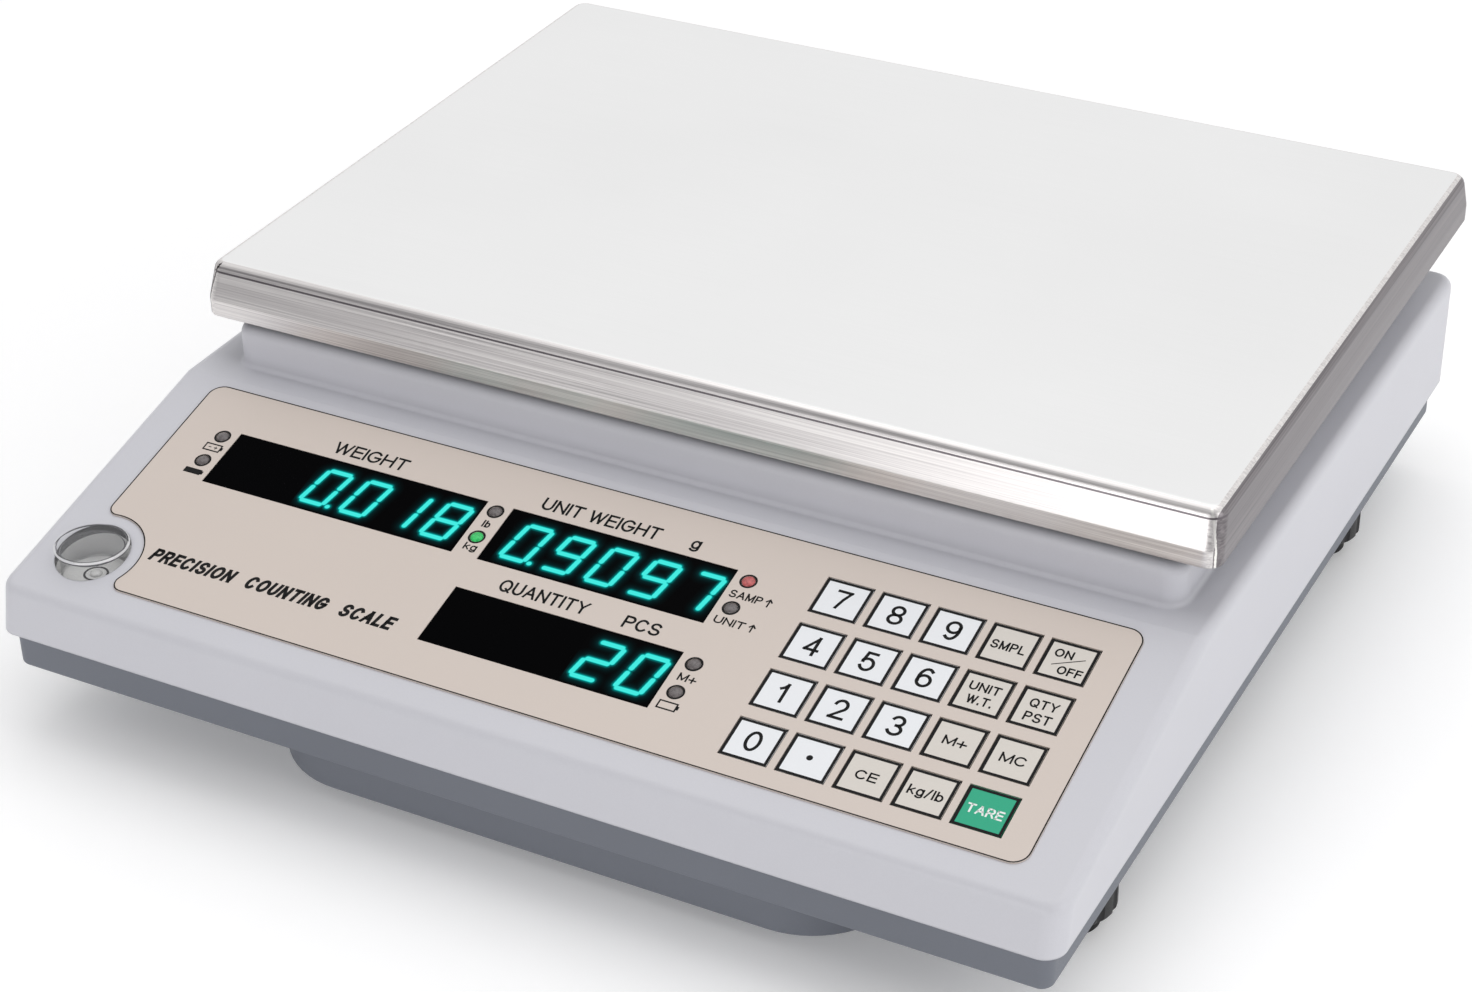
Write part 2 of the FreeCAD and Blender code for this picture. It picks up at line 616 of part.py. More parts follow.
def make_platter():
    outer = doc.addObject("PartDesign::Body", "platter_outside")
    pan_shape(outer, "0", "0")
    inner = doc.addObject("PartDesign::Body", "platter_inside")
    pan_shape(inner, "platter_sheet", "platter_sheet")
    keep("weighing_platter", cut(outer, inner))


def make_spider():
    body = new_body("platter_spider")
    plate = new_sketch(body, height="spider_bottom")
    rectangle(plate, "-42", "42", "platter_middle - 42", "hub_back + 6")
    extrude(body, "Pad", plate, "spider_thick")
    for side in ("-", ""):
        for end in ("-", "+"):
            far_across, far_along = f"{side}cushion_across", f"platter_middle {end} cushion_along"
            arm = new_sketch(body, height="spider_bottom")
            outline(arm, ((f"{side}10", f"platter_middle {end} 40"),
                          (f"{side}40", f"platter_middle {end} 12"),
                          (f"{side}(cushion_across + 7)", f"{far_along} - ({end}9)"),
                          (f"{side}(cushion_across - 7)", f"{far_along} + ({end}9)")))
            extrude(body, "Pad", arm, "spider_thick")
            seat = new_sketch(body, height="spider_bottom")
            circle(seat, far_across, far_along, "cushion_radius + 5")
            extrude(body, "Pad", seat, "spider_thick")
    hub = new_sketch(body, height="cell_bottom + cell_height")
    rectangle(hub, "-hub_half", "hub_half", "hub_front", "hub_back")
    extrude(body, "Pad", hub, "spider_bottom - cell_bottom - cell_height + 1")
    for radius, top, depth in (("5.3", "spider_bottom + spider_thick", "4.6"),
                               ("cell_screw + 0.2", "spider_bottom + 2", "40")):
        holes = new_sketch(body, height=top)
        for along in ("97", "111"):
            circle(holes, "0", along, radius)
        extrude(body, "Pocket", holes, depth)


def make_cushions():
    cushions = []
    for side in ("-", ""):
        for end in ("-", "+"):
            tall = "platter_top - platter_sheet - rest_gap - spider_bottom - spider_thick"
            cushions.append(rod("cushion_radius", tall, f"{side}cushion_across",
                                f"platter_middle {end} cushion_along",
                                "spider_bottom + spider_thick"))
    keep("platter_cushions", joined(*cushions))


def make_load_cell():
    body = new_body("load_cell")
    bar = new_sketch(body, height="cell_bottom")
    centred(bar, "0", "platter_middle", "cell_width", "cell_length")
    extrude(body, "Pad", bar, "cell_height")
    flexure = new_sketch(body, "YZ_Plane", "-cell_width")
    for along in ("platter_middle - 14", "platter_middle + 14"):
        circle(flexure, along, "cell_bottom + cell_height / 2", "cell_hole")
    extrude(body, "Pocket", flexure, "2 * cell_width", flip=True)
    slot = new_sketch(body, "YZ_Plane", "-cell_width")
    centred(slot, "platter_middle", "cell_bottom + cell_height / 2", "28", "6")
    extrude(body, "Pocket", slot, "2 * cell_width", flip=True)
    holes = new_sketch(body, height="cell_bottom")
    for along in ("-1", "13"):
        circle(holes, "0", along, "cell_screw")
    extrude(body, "Pocket", holes, "14", flip=True)
    holes = new_sketch(body, height="cell_bottom + cell_height")
    for along in ("97", "111"):
        circle(holes, "0", along, "cell_screw")
    extrude(body, "Pocket", holes, "14")


def socket_screw(across, along, head_from, shank_to, downward):
    """An M6 cap screw between two heights: its head's outer face and its tip."""
    head_up = f"{head_from} - 4" if downward else head_from
    low, high = (shank_to, head_up) if downward else (f"{head_from} + 4", shank_to)
    head = rod("5", "4", across, along, head_up)
    shank = rod("cell_screw - 0.05", f"{high} - ({low})", across, along, low)
    key = rod("2.5", "2", across, along, f"{head_from} - 2" if downward else head_from)
    return cut(joined(head, shank), key)


def make_cell_screws():
    below = [socket_screw("0", along, "chassis_bottom - 4", "cell_bottom + 12", False)
             for along in ("-1", "13")]
    keep("load_cell_screws", joined(*below))
    above = [socket_screw("0", along, "spider_bottom + spider_thick - 0.4",
                          "cell_bottom + cell_height - 12", True) for along in ("97", "111")]
    keep("spider_screws", joined(*above))


def make_chassis():
    body = new_body("chassis")
    inside = "rail_across - rail_wide / 2"
    outside = "rail_across + rail_wide / 2"
    bars = (
        (f"-({outside})", f"-({inside})", "foot_front - 10", "foot_back + 11"),
        (inside, outside, "foot_front - 10", "foot_back + 11"),
        (f"-({outside})", outside, "-42", "-16"),
        (f"-({outside})", outside, "foot_back - 11", "foot_back + 11"),
        ("-22", "22", "-42", "foot_back + 16"),
    )
    for left, right, low, high in bars:
        bar = new_sketch(body, height="chassis_bottom")
        rectangle(bar, left, right, low, high)
        extrude(body, "Pad", bar, "chassis_thick")
    for _, across, along in FEET:
        lobe = new_sketch(body, height="chassis_bottom")
        circle(lobe, across, along, "12")
        extrude(body, "Pad", lobe, "chassis_thick")
    pedestal = new_sketch(body, height="chassis_bottom")
    rectangle(pedestal, "-17", "17", "platter_middle - cell_length / 2", "21")
    extrude(body, "Pad", pedestal, "cell_bottom - chassis_bottom")
    holes = new_sketch(body, height="chassis_bottom")
    for _, across, along in FEET:
        circle(holes, across, along, "insert_bore + 0.5")
    for along in ("-1", "13"):
        circle(holes, "0", along, "cell_screw + 0.2")
    circle(holes, "0", "104", "cell_screw")
    extrude(body, "Pocket", holes, "cell_bottom - chassis_bottom + 1", flip=True)


def make_overload_stop():
    stud = rod("cell_screw - 0.05", "cell_bottom - chassis_bottom - 0.6", "0", "104",
               "chassis_bottom")
    nut = doc.addObject("Part::Prism", "lock_nut")
    nut.Polygon = 6
    nut.setExpression("Circumradius", "5.5")
    nut.setExpression("Height", "3.5")
    move(nut, "0", "104", "chassis_bottom + chassis_thick")
    keep("overload_stop", joined(stud, nut))


# ---------------------------------------------------------------- electrics

def make_main_board():
    body = new_body("main_board")
    plate = new_sketch(body, height="cell_bottom")
    rectangle(plate, "40", "120", "-38", "105")
    extrude(body, "Pad", plate, "board_thick")
    parts = (  # middle across, middle along, wide, deep, tall
        ("80", "30", "16", "16", "3"), ("104", "10", "22", "10", "8"), ("64", "80", "30", "24", "9"),
        ("100", "70", "12", "12", "11"), ("61", "51", "6", "12", "9"), ("90", "-20", "34", "8", "9"),
    )
    for across, along, wide, deep, tall in parts:
        part = new_sketch(body, height="cell_bottom + board_thick - 0.2")
        centred(part, across, along, wide, deep)
        extrude(body, "Pad", part, f"{tall} + 0.2")
    holes = new_sketch(body, height="cell_bottom")
    for across, along in BOARD_CORNERS:
        circle(holes, across, along, "1.3")
    extrude(body, "Pocket", holes, "board_thick + 1", flip=True)


def make_board_screws():
    """The spacers under the main board, and the screws that hold all three boards."""
    pieces = []
    top = "chassis_bottom + chassis_thick"
    for across, along in BOARD_CORNERS:
        spacer = rod("3", f"cell_bottom - ({top})", across, along, top)
        head = rod("2.2", "1.5", across, along, "cell_bottom + board_thick")
        shank = rod("1", "board_thick", across, along, "cell_bottom")
        pieces.append(joined(spacer, shank, head))
    tilted = []
    for places, depth in ((KEYPAD_STANDOFFS, "keypad_board_depth"),
                          (DISPLAY_STANDOFFS, "display_board_depth")):
        for across, up in places:
            head = rod("2.2", "1.5", across, up, f"-{depth} - 1.5")
            shank = rod("1", "board_thick + 3.5", across, up, f"-{depth}")
            tilted.append(joined(head, shank))
    group = joined(*tilted)
    tilt(group)
    keep("board_screws", joined(group, *pieces))


def make_transformer():
    core = box("50", "40", "30", "-105", "foot_back", "chassis_bottom + chassis_thick + 3")
    coil = box("30", "50", "22", "-105", "foot_back", "chassis_bottom + chassis_thick + 7")
    feet = box("66", "16", "3", "-105", "foot_back", "chassis_bottom + chassis_thick")
    keep("transformer", joined(core, coil, feet))


def make_battery():
    body = new_body("battery")
    block = new_sketch(body, height="bulge_bottom + base_wall")
    centred(block, "battery_across", "battery_along", "battery_wide", "battery_deep")
    case = extrude(body, "Pad", block, "battery_tall - 1")
    soften(body, "Fillet", case, upright, "2")
    tabs = new_sketch(body, height="bulge_bottom + base_wall + battery_tall - 1")
    for along in ("battery_along - 22", "battery_along + 22"):
        centred(tabs, "battery_across - 58", along, "6", "0.8")
    extrude(body, "Pad", tabs, "1")


def make_inlet():
    body = new_body("power_inlet")
    flange = new_sketch(body, "XZ_Plane", "-cover_back")
    centred(flange, "inlet_across", "inlet_height", "31", "24")
    inlet = extrude(body, "Pad", flange, "2", flip=True)
    soften(body, "Fillet", inlet, lambda e: span(e).y > 1.9, "1.5")
    shell = new_sketch(body, "XZ_Plane", "-cover_back")
    centred(shell, "inlet_across", "inlet_height", "27", "20")
    extrude(body, "Pad", shell, "17")
    socket = new_sketch(body, "XZ_Plane", "-cover_back - 2")
    outline(socket, tuple((f"inlet_across + {a}", f"inlet_height + {u}") for a, u in (
        ("-12.2", "-4.1"), ("-8.2", "-8.1"), ("8.2", "-8.1"),
        ("12.2", "-4.1"), ("12.2", "8.1"), ("-12.2", "8.1"))))
    extrude(body, "Pocket", socket, "16", flip=True)
    pins = new_sketch(body, "XZ_Plane", "-cover_back + 14.5")
    for across, up in (("-7", "0"), ("7", "0"), ("0", "4")):
        centred(pins, f"inlet_across + {across}", f"inlet_height + {up}", "2", "4")
    extrude(body, "Pad", pins, "13", flip=True)


def make_switch():
    body = new_body("switch_body")
    bezel = new_sketch(body, height="base_bottom - 1.6")
    centred(bezel, "switch_across", "switch_along", "15", "21")
    frame = extrude(body, "Pad", bezel, "1.6")
    soften(body, "Fillet", frame, lambda e: near(middle(e).z, SIZES["base_bottom"] - 1.6), "0.8")
    case = new_sketch(body, height="base_bottom - 0.5")
    centred(case, "switch_across", "switch_along", "13", "19")
    extrude(body, "Pad", case, "17")
    recess = new_sketch(body, height="base_bottom - 2")
    centred(recess, "switch_across", "switch_along", "rocker_wide + 0.6", "17.4")
    extrude(body, "Pocket", recess, "8", flip=True)
    pivot_holes = new_sketch(body, "YZ_Plane", "switch_across")
    circle(pivot_holes, "switch_along", "switch_pivot", "pivot_radius + 0.05")
    extrude(body, "Pocket", pivot_holes, "14", both_ways=True)

    rocker = new_body("switch_rocker")
    turn = FreeCAD.Rotation(Vector(1, 0, 0), SIZES["rocker_tilt"])
    rocker.Placement = FreeCAD.Placement(Vector(0, 0, 0), turn)
    rocker.setExpression("Placement.Rotation.Angle", formula("rocker_tilt * 1 deg"))
    move(rocker, "switch_across", "switch_along", "switch_pivot")
    face = new_sketch(rocker, "YZ_Plane")
    outline(face, (("-rocker_half", "-5"), ("0", "-3.6"), ("rocker_half", "-5"),
                   ("rocker_half - 0.6", "1"), ("-rocker_half + 0.6", "1")))
    extrude(rocker, "Pad", face, "rocker_wide", both_ways=True)
    pivot = new_sketch(rocker, "YZ_Plane")
    circle(pivot, "0", "0", "pivot_radius")
    extrude(rocker, "Pad", pivot, "12.4", both_ways=True)


def bent_tube(points, radius):
    """A tube along straight runs joined by tangent arcs, each as large as its runs allow."""
    share = 0.45
    edges, start = [], points[0]
    for before, corner, after in zip(points, points[1:], points[2:]):
        toward = (corner - before).normalize()
        away = (after - corner).normalize()
        half_turn = toward.getAngle(away) / 2
        reach = share * min((corner - before).Length, (after - corner).Length)
        bend = reach / math.tan(half_turn)
        arc_start, arc_end = corner - toward * reach, corner + away * reach
        inward = (away - toward).normalize()
        top = corner + inward * (bend / math.cos(half_turn) - bend)
        print(f"cable bend radius {bend:.1f}")
        edges.append(Part.LineSegment(start, arc_start).toShape())
        edges.append(Part.Arc(arc_start, top, arc_end).toShape())
        start = arc_end
    edges.append(Part.LineSegment(start, points[-1]).toShape())
    path = Part.Wire(edges)
    along = points[1] - points[0]
    ring = Part.Wire(Part.makeCircle(radius, points[0], along))
    tube = path.makePipeShell([ring], True, False)
    print(f"cable volume {tube.Volume:.1f}, section times length "
          f"{math.pi * radius ** 2 * path.Length:.1f}")
    return tube


def make_cable():
    side = SIZES["cell_width"] / 2
    height = SIZES["cell_bottom"] + 8
    plug_height = SIZES["cell_bottom"] + 6
    route = [Vector(side, 20, height), Vector(side + 14, 20, height),
             Vector(44, 38, plug_height + 1), Vector(50, 51, plug_height), Vector(58, 51, plug_height)]
    cable = keep("load_cell_cable", doc.addObject("Part::Feature", "load_cell_cable"))
    cable.Shape = bent_tube(route, SIZES["cable_radius"])


# ---------------------------------------------------------------- feet and fasteners

def make_feet():
    grips = 12
    inserts = []
    for name, across, along in FEET:
        knob = new_body("foot_knob_" + name)
        move(knob, across, along, "0")
        disc = new_sketch(knob, height="knob_bottom")
        circle(disc, "0", "0", "knob_radius")
        wheel = extrude(knob, "Pad", disc, "knob_thick")
        wheel = soften(knob, "Fillet", wheel, lambda e: e.Curve.TypeId == "Part::GeomCircle", "1.2")
        groove = new_sketch(knob, height="knob_bottom - 1")
        circle(groove, "knob_radius + 1.2", "0", "2")
        notch = extrude(knob, "Pocket", groove, "knob_thick + 2", flip=True)
        ring = knob.newObject("PartDesign::PolarPattern", knob.Name + "_ring")
        ring.Originals = [notch]
        ring.Axis = (groove, ["N_Axis"])
        ring.Occurrences = grips
        knob.Tip = ring
        doc.recompute()
        stud = new_sketch(knob, height="knob_bottom + knob_thick - 1")
        circle(stud, "0", "0", "stud_radius")
        extrude(knob, "Pad", stud, "stud_top - knob_bottom - knob_thick + 1")
        socket = new_sketch(knob, height="knob_bottom")
        circle(socket, "0", "0", "spigot_radius + spigot_room")
        extrude(knob, "Pocket", socket, "4", flip=True)

        disc = rod("pad_radius", "knob_bottom - knob_gap", across, along, "0")
        spigot = rod("spigot_radius", "knob_bottom + 3", across, along, "0")
        keep("foot_pad_" + name, joined(disc, spigot))
        nut = rod("insert_radius", "chassis_bottom - base_bottom + 1.6", across, along,
                  "base_bottom - 1.6")
        bore = rod("insert_bore", "20", across, along, "base_bottom - 4")
        inserts.append(cut(nut, bore))
    keep("foot_inserts", joined(*inserts))


def case_screw(across, along, underside):
    head = rod("screw_head", "screw_head_tall", across, along, underside)
    shank = rod("screw_radius", "screw_long", across, along, f"{underside} + screw_head_tall")
    cross = box("3.6", "0.8", "1", across, along, underside)
    return cut(joined(head, shank), cross)


def make_case_screws():
    screws = [case_screw(across, along, "base_bottom + 0.1")
              for across, along in FRONT_POSTS + SIDE_POSTS]
    screws += [case_screw(across, along, "bulge_bottom - screw_head_tall")
               for across, along in DOOR_SCREWS]
    keep("case_screws", joined(*screws))


def check_and_write():
    doc.recompute()
    for item in doc.Objects:
        if "Invalid" in item.State or "Error" in item.State:
            raise RuntimeError(f"{item.Name} ({item.Label}) failed: {item.State}")
    for name, item in NODES.items():
        shape = item.Shape
        if shape.isNull() or not shape.isValid() or not shape.Solids:
            raise RuntimeError(f"{name} has no valid shape")
    os.makedirs("parts", exist_ok=True)
    for name, item in NODES.items():
        item.Shape.exportStep(f"parts/{name}.step")
        print(f"{name}: {len(item.Shape.Solids)} solid(s), {item.Shape.Volume / 1000:.2f} cm3")
    print(len(NODES), "nodes")


for make in (make_top_cover, make_base_pan, make_battery_door, make_overlay, make_windows,
             make_keys, make_panel_boards, make_level, make_platter, make_spider, make_cushions,
             make_load_cell, make_cell_screws, make_chassis, make_overload_stop, make_main_board,
             make_board_screws, make_transformer, make_battery, make_inlet, make_switch,
             make_cable, make_feet, make_case_screws):
    make()
check_and_write()
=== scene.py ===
"""Looks of the counting scale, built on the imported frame.

Panel details are drawn in the panel's own directions, in millimetres: across, up the slope and
out of the panel, from the middle of the overlay's front edge. They are then laid on the panel.
"""
import json
import math

import bmesh
import bpy
from mathutils import Matrix, Vector


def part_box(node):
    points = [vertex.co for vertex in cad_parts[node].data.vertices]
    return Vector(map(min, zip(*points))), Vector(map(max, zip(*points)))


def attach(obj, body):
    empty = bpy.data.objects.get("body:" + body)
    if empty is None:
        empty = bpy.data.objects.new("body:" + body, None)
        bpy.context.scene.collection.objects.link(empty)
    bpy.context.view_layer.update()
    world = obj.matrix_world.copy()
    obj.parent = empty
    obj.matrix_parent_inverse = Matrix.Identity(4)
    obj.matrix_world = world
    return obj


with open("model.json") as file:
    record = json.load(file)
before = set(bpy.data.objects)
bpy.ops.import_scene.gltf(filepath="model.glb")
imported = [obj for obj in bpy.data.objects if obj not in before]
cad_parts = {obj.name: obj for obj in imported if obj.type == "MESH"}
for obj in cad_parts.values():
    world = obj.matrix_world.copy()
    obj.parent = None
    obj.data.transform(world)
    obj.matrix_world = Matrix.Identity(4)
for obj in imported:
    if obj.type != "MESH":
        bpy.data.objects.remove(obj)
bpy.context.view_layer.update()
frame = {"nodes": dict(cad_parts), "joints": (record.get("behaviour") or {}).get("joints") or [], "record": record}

nodes = frame["nodes"]
MM = 0.001
PLATTER = "weighing_platter"
PLATTER_CORNER = 0.005  # radius of the platter's upright corners
CREASE_SHADE_DROP, CREASE_SHADE_HALF = 0.0027, 0.00028  # painted shade line along the rim's crease: depth below the top, half width
# half width and waver of the line down each platter corner: a weld seam, painted as a highlight on the right
# corners
WELD_AND_GLINT_HALF, WELD_AND_GLINT_WAVER = 0.0005, 0.0002


# ---------------------------------------------------------------- materials

def add(tree, kind, inputs=None, **settings):
    """A shader node with its settings and its inputs, which are values or other sockets."""
    made = tree.nodes.new("ShaderNode" + kind)
    for name, value in settings.items():
        setattr(made, name, value)
    for name, value in (inputs or {}).items():
        if isinstance(value, bpy.types.NodeSocket):
            tree.links.new(value, made.inputs[name])
        else:
            made.inputs[name].default_value = value
    return made


def rgb(red, green, blue):
    """A display colour, 0 to 255, as light."""
    return tuple((c / 255 / 12.92) if c < 11 else ((c / 255 + 0.055) / 1.055) ** 2.4
                 for c in (red, green, blue)) + (1.0,)


def shade(colour, amount):
    """A colour made darker or lighter."""
    return tuple(min(1.0, channel * amount) for channel in colour[:3]) + (1.0,)


def grain(tree, stretch, detail=3.0):
    """Noise over the object, with features per metre along each axis."""
    where = add(tree, "TexCoord").outputs["Object"]
    placed = add(tree, "Mapping", {"Vector": where, "Scale": stretch}).outputs[0]
    noise = add(tree, "TexNoise", {"Vector": placed, "Scale": 1.0, "Detail": detail,
                                   "Roughness": 0.55})
    return noise.outputs[0]


def spread(tree, value, low, high, start=0.3, end=0.7):
    """A value between start and end stretched over a range; noise lies between 0.3 and 0.7."""
    inputs = {"Value": value, "From Min": start, "From Max": end, "To Min": low, "To Max": high}
    return add(tree, "MapRange", inputs).outputs[0]


def mix(tree, amount, first, second):
    """Two values mixed by a value from 0 to 1."""
    return add(tree, "Mix", {0: amount, 2: first, 3: second}).outputs[0]


def blend(tree, amount, first, second):
    """Two colours mixed by a value from 0 to 1."""
    return add(tree, "Mix", {0: amount, 6: first, 7: second}, data_type="RGBA").outputs[2]


def math_node(tree, operation, first, second=0.0):
    """One step of arithmetic on values."""
    return add(tree, "Math", {0: first, 1: second}, operation=operation).outputs[0]


def look(name, **sockets):
    """A new material: its node tree and its shader, with the same values all over set on it."""
    made = bpy.data.materials.new(name)
    made.use_nodes = True
    shader = made.node_tree.nodes["Principled BSDF"]
    for socket, value in sockets.items():
        shader.inputs[socket.replace("_", " ")].default_value = value
    return made, made.node_tree, shader


def finish_look(tree, shader, colour, rough, height, depth, edge=0.0):
    """Links colour, roughness and bump, over rounded edges where edge is a radius in metres."""
    tree.links.new(colour, shader.inputs["Base Color"])
    tree.links.new(rough, shader.inputs["Roughness"])
    inputs = {"Height": height, "Strength": 1.0, "Distance": depth}
    if edge:
        inputs["Normal"] = add(tree, "Bevel", {"Radius": edge}, samples=4).outputs[0]
    bump = add(tree, "Bump", inputs)
    tree.links.new(bump.outputs[0], shader.inputs["Normal"])


def moulded(name, colour, rough=0.5, vary=0.03, pebble=1800.0, depth=1.5e-5, edge=0.0,
            crevice_shade=0.0, **sockets):
    """Moulded plastic, film or rubber: a fine texture, broad changes in tone, and, where crevice_shade gives a
    reach, painted shade that darkens crevices and gaps.
    """
    made, tree, shader = look(name, **sockets)
    broad = grain(tree, (14.0, 14.0, 14.0))
    fine = grain(tree, (pebble,) * 3, 2.0)
    speck = spread(tree, fine, -0.25, 0.25)
    amount = math_node(tree, "ADD", spread(tree, broad, 0.2, 0.8), speck)
    tone = blend(tree, amount, shade(colour, 1 - vary), shade(colour, 1 + vary))
    if crevice_shade:
        # painted shade: where ambient occlusion finds little open sky within this reach, the colour is darkened
        # nearly to black, as in crevices and under the platter's rim
        open_sky = add(tree, "AmbientOcclusion", {"Distance": crevice_shade}, samples=8).outputs["AO"]
        tone = blend(tree, spread(tree, open_sky, 0.0, 1.0, 0.2, 0.6), shade(colour, 0.03), tone)
    gloss = spread(tree, fine, rough - 0.06, rough + 0.06)
    finish_look(tree, shader, tone, gloss, fine, depth, edge)
    return made


def facing(tree):
    """The three parts of the direction that a face looks in."""
    normal = add(tree, "NewGeometry").outputs["Normal"]
    return add(tree, "SeparateXYZ", {0: normal}).outputs


def places(tree):
    """The three parts of a point's place on the object, in metres."""
    where = add(tree, "TexCoord").outputs["Object"]
    return add(tree, "SeparateXYZ", {0: where}).outputs


def sideways(tree):
    """1 where a face looks sideways along X, otherwise 0."""
    side = facing(tree)[0]
    return math_node(tree, "GREATER_THAN", math_node(tree, "ABSOLUTE", side), 0.6)


def streaks(tree, run, across, up, detail):
    """Streaks along X, or along Y where a face looks sideways, with features per metre."""
    along = grain(tree, (run, across, up), detail)
    aside = grain(tree, (across, run, up), detail)
    return mix(tree, sideways(tree), along, aside)


def brushed(name, colour, rough, streak=1500.0):
    """Brushed metal."""
    made, tree, shader = look(name, Metallic=1.0)
    lines = streaks(tree, 7.0, streak, streak, 4.0)
    cloud = grain(tree, (26.0, 26.0, 60.0), 4.0)
    amount = math_node(tree, "ADD", spread(tree, lines, 0.0, 0.8), spread(tree, cloud, 0.0, 0.2))
    tone = blend(tree, amount, shade(colour, 0.95), shade(colour, 1.05))
    gloss = spread(tree, lines, rough - 0.07, rough + 0.09)
    finish_look(tree, shader, tone, gloss, lines, 1e-5)
    return made


def corner_weld_and_glint(tree, lines):
    """1 on a thin line down each corner of the platter's rim, otherwise 0."""
    across, along, _ = places(tree)
    low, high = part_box(PLATTER)
    beyond = []
    for part, centre, half in ((across, (low.x + high.x) / 2, (high.x - low.x) / 2),
                               (along, (low.y + high.y) / 2, (high.y - low.y) / 2)):
        offset = math_node(tree, "ABSOLUTE", math_node(tree, "SUBTRACT", part, centre))
        beyond.append(math_node(tree, "SUBTRACT", offset, half - PLATTER_CORNER))
    gap = math_node(tree, "ABSOLUTE", math_node(tree, "SUBTRACT", *beyond))
    wavy = math_node(tree, "ADD", gap, spread(tree, lines, -WELD_AND_GLINT_WAVER, WELD_AND_GLINT_WAVER))
    on_line = math_node(tree, "LESS_THAN", wavy, WELD_AND_GLINT_HALF)
    outside = math_node(tree, "GREATER_THAN", beyond[0], 0.0)
    return math_node(tree, "MULTIPLY", on_line, outside)


def platter_tone(tree, flat, lines, satin, upward):
    """The platter's colour: a pale top, sideways rims darkened as painted shade, weld lines that are dark on the
    left and painted highlights on the right, a painted shade line at the crease, and an underside painted dark as
    shade.
    """
    across, _, height = places(tree)
    cloud = grain(tree, (9.0, 9.0, 9.0), 2.0)
    rim = blend(tree, spread(tree, lines, 0.0, 1.0), rgb(196, 192, 192), rgb(238, 235, 233))
    top = blend(tree, math_node(tree, "ADD", spread(tree, satin, 0.0, 0.5),
                                spread(tree, cloud, 0.0, 0.5)),
                rgb(231, 231, 231), rgb(236, 236, 236))
    # painted shade: the rim's sideways faces get a darker copy of the same brushed steel, as they fall in shade
    side = blend(tree, spread(tree, lines, 0.0, 1.0), rgb(104, 100, 103), rgb(148, 143, 145))
    tone = blend(tree, sideways(tree), blend(tree, flat, rim, top), side)
    # weld seam down each corner: drawn dark on the left corners, and on the right corners as a painted highlight
    # where light catches the rounded corner
    weld_seam_and_glint = blend(tree, math_node(tree, "GREATER_THAN", across, 0.0), rgb(70, 67, 68),
                 rgb(246, 244, 240))
    tone = blend(tree, corner_weld_and_glint(tree, lines), tone, weld_seam_and_glint)
    # painted shade: a thin dark band along the crease where the top bends into the rim
    drop = math_node(tree, "SUBTRACT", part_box(PLATTER)[1].z - CREASE_SHADE_DROP, height)
    crease_shade = math_node(tree, "LESS_THAN", math_node(tree, "ABSOLUTE", drop), CREASE_SHADE_HALF)
    tone = blend(tree, crease_shade, tone, rgb(112, 107, 111))
    # painted shade: faces that look down are coloured dark grey, as the platter's underside lies in shade
    underside_shade = math_node(tree, "LESS_THAN", upward, -0.3)
    return blend(tree, underside_shade, tone, rgb(96, 94, 94))


def platter_metal(name):
    """Stainless sheet: a satin top, brushed rims with welded corners, and an underside painted dark as shade."""
    made, tree, shader = look(name, Metallic=1.0)
    upward = facing(tree)[2]
    flat = math_node(tree, "GREATER_THAN", upward, 0.98)
    lines = streaks(tree, 9.0, 2200.0, 2600.0, 3.0)
    satin = grain(tree, (12.0, 4000.0, 4000.0), 2.0)
    tone = platter_tone(tree, flat, lines, satin, upward)
    gloss = mix(tree, flat, spread(tree, lines, 0.28, 0.44), spread(tree, satin, 0.34, 0.4))
    relief = mix(tree, flat, lines, satin)
    finish_look(tree, shader, tone, gloss, relief, mix(tree, flat, 4e-6, 1e-6), 0.0005)
    return made


def plain_metal(name, colour, rough, depth=1e-5):
    """Cast, plated or machined metal with a fine grain all ways."""
    made, tree, shader = look(name, Metallic=1.0)
    fine = grain(tree, (900.0, 900.0, 900.0), 4.0)
    tone = blend(tree, spread(tree, fine, 0.0, 1.0), shade(colour, 0.85), shade(colour, 1.1))
    finish_look(tree, shader, tone, spread(tree, fine, rough - 0.1, rough + 0.1), fine, depth)
    return made


BEIGE = rgb(212, 200, 191)
INK = rgb(9, 9, 10)

# the cover gets painted shade in its crevices and in the gap under the platter
cover_look = moulded("cover_plastic", rgb(205, 205, 211), 0.42, vary=0.02, edge=0.0008,
                     crevice_shade=0.01)
base_look = moulded("base_plastic", rgb(108, 112, 121), 0.5, vary=0.05, edge=0.0008)
film_look = moulded("overlay_film", BEIGE, 0.45, vary=0.012, pebble=3500.0, depth=4e-6)
edge_look = moulded("overlay_edge", rgb(60, 56, 54), 0.5)
window_look = moulded("window_plastic", rgb(2, 2, 3), 0.3, pebble=500.0, depth=1e-6,
                      Specular_IOR_Level=0.01)
white_key_look = moulded("white_key", rgb(236, 238, 241), 0.4, vary=0.01, pebble=3500.0,
                         depth=4e-6)
beige_key_look = moulded("beige_key", rgb(216, 210, 202), 0.42, vary=0.012, pebble=3500.0,
                         depth=4e-6)
green_key_look = moulded("green_key", rgb(8, 168, 128), 0.5, vary=0.02, pebble=3500.0,
                         depth=4e-6)
ink_look = moulded("printing_ink", INK, 0.5, vary=0.1, pebble=5000.0, depth=2e-6,
                   Specular_IOR_Level=0.15)
white_ink_look = moulded("white_ink", rgb(240, 245, 242), 0.5, pebble=5000.0, depth=2e-6)
board_look = moulded("circuit_board", rgb(30, 92, 52), 0.35, vary=0.2, pebble=400.0)
black_look = moulded("black_plastic", rgb(26, 26, 28), 0.45, vary=0.15)
gloss_black_look = moulded("gloss_black", rgb(16, 16, 17), 0.15, vary=0.1, depth=2e-6)
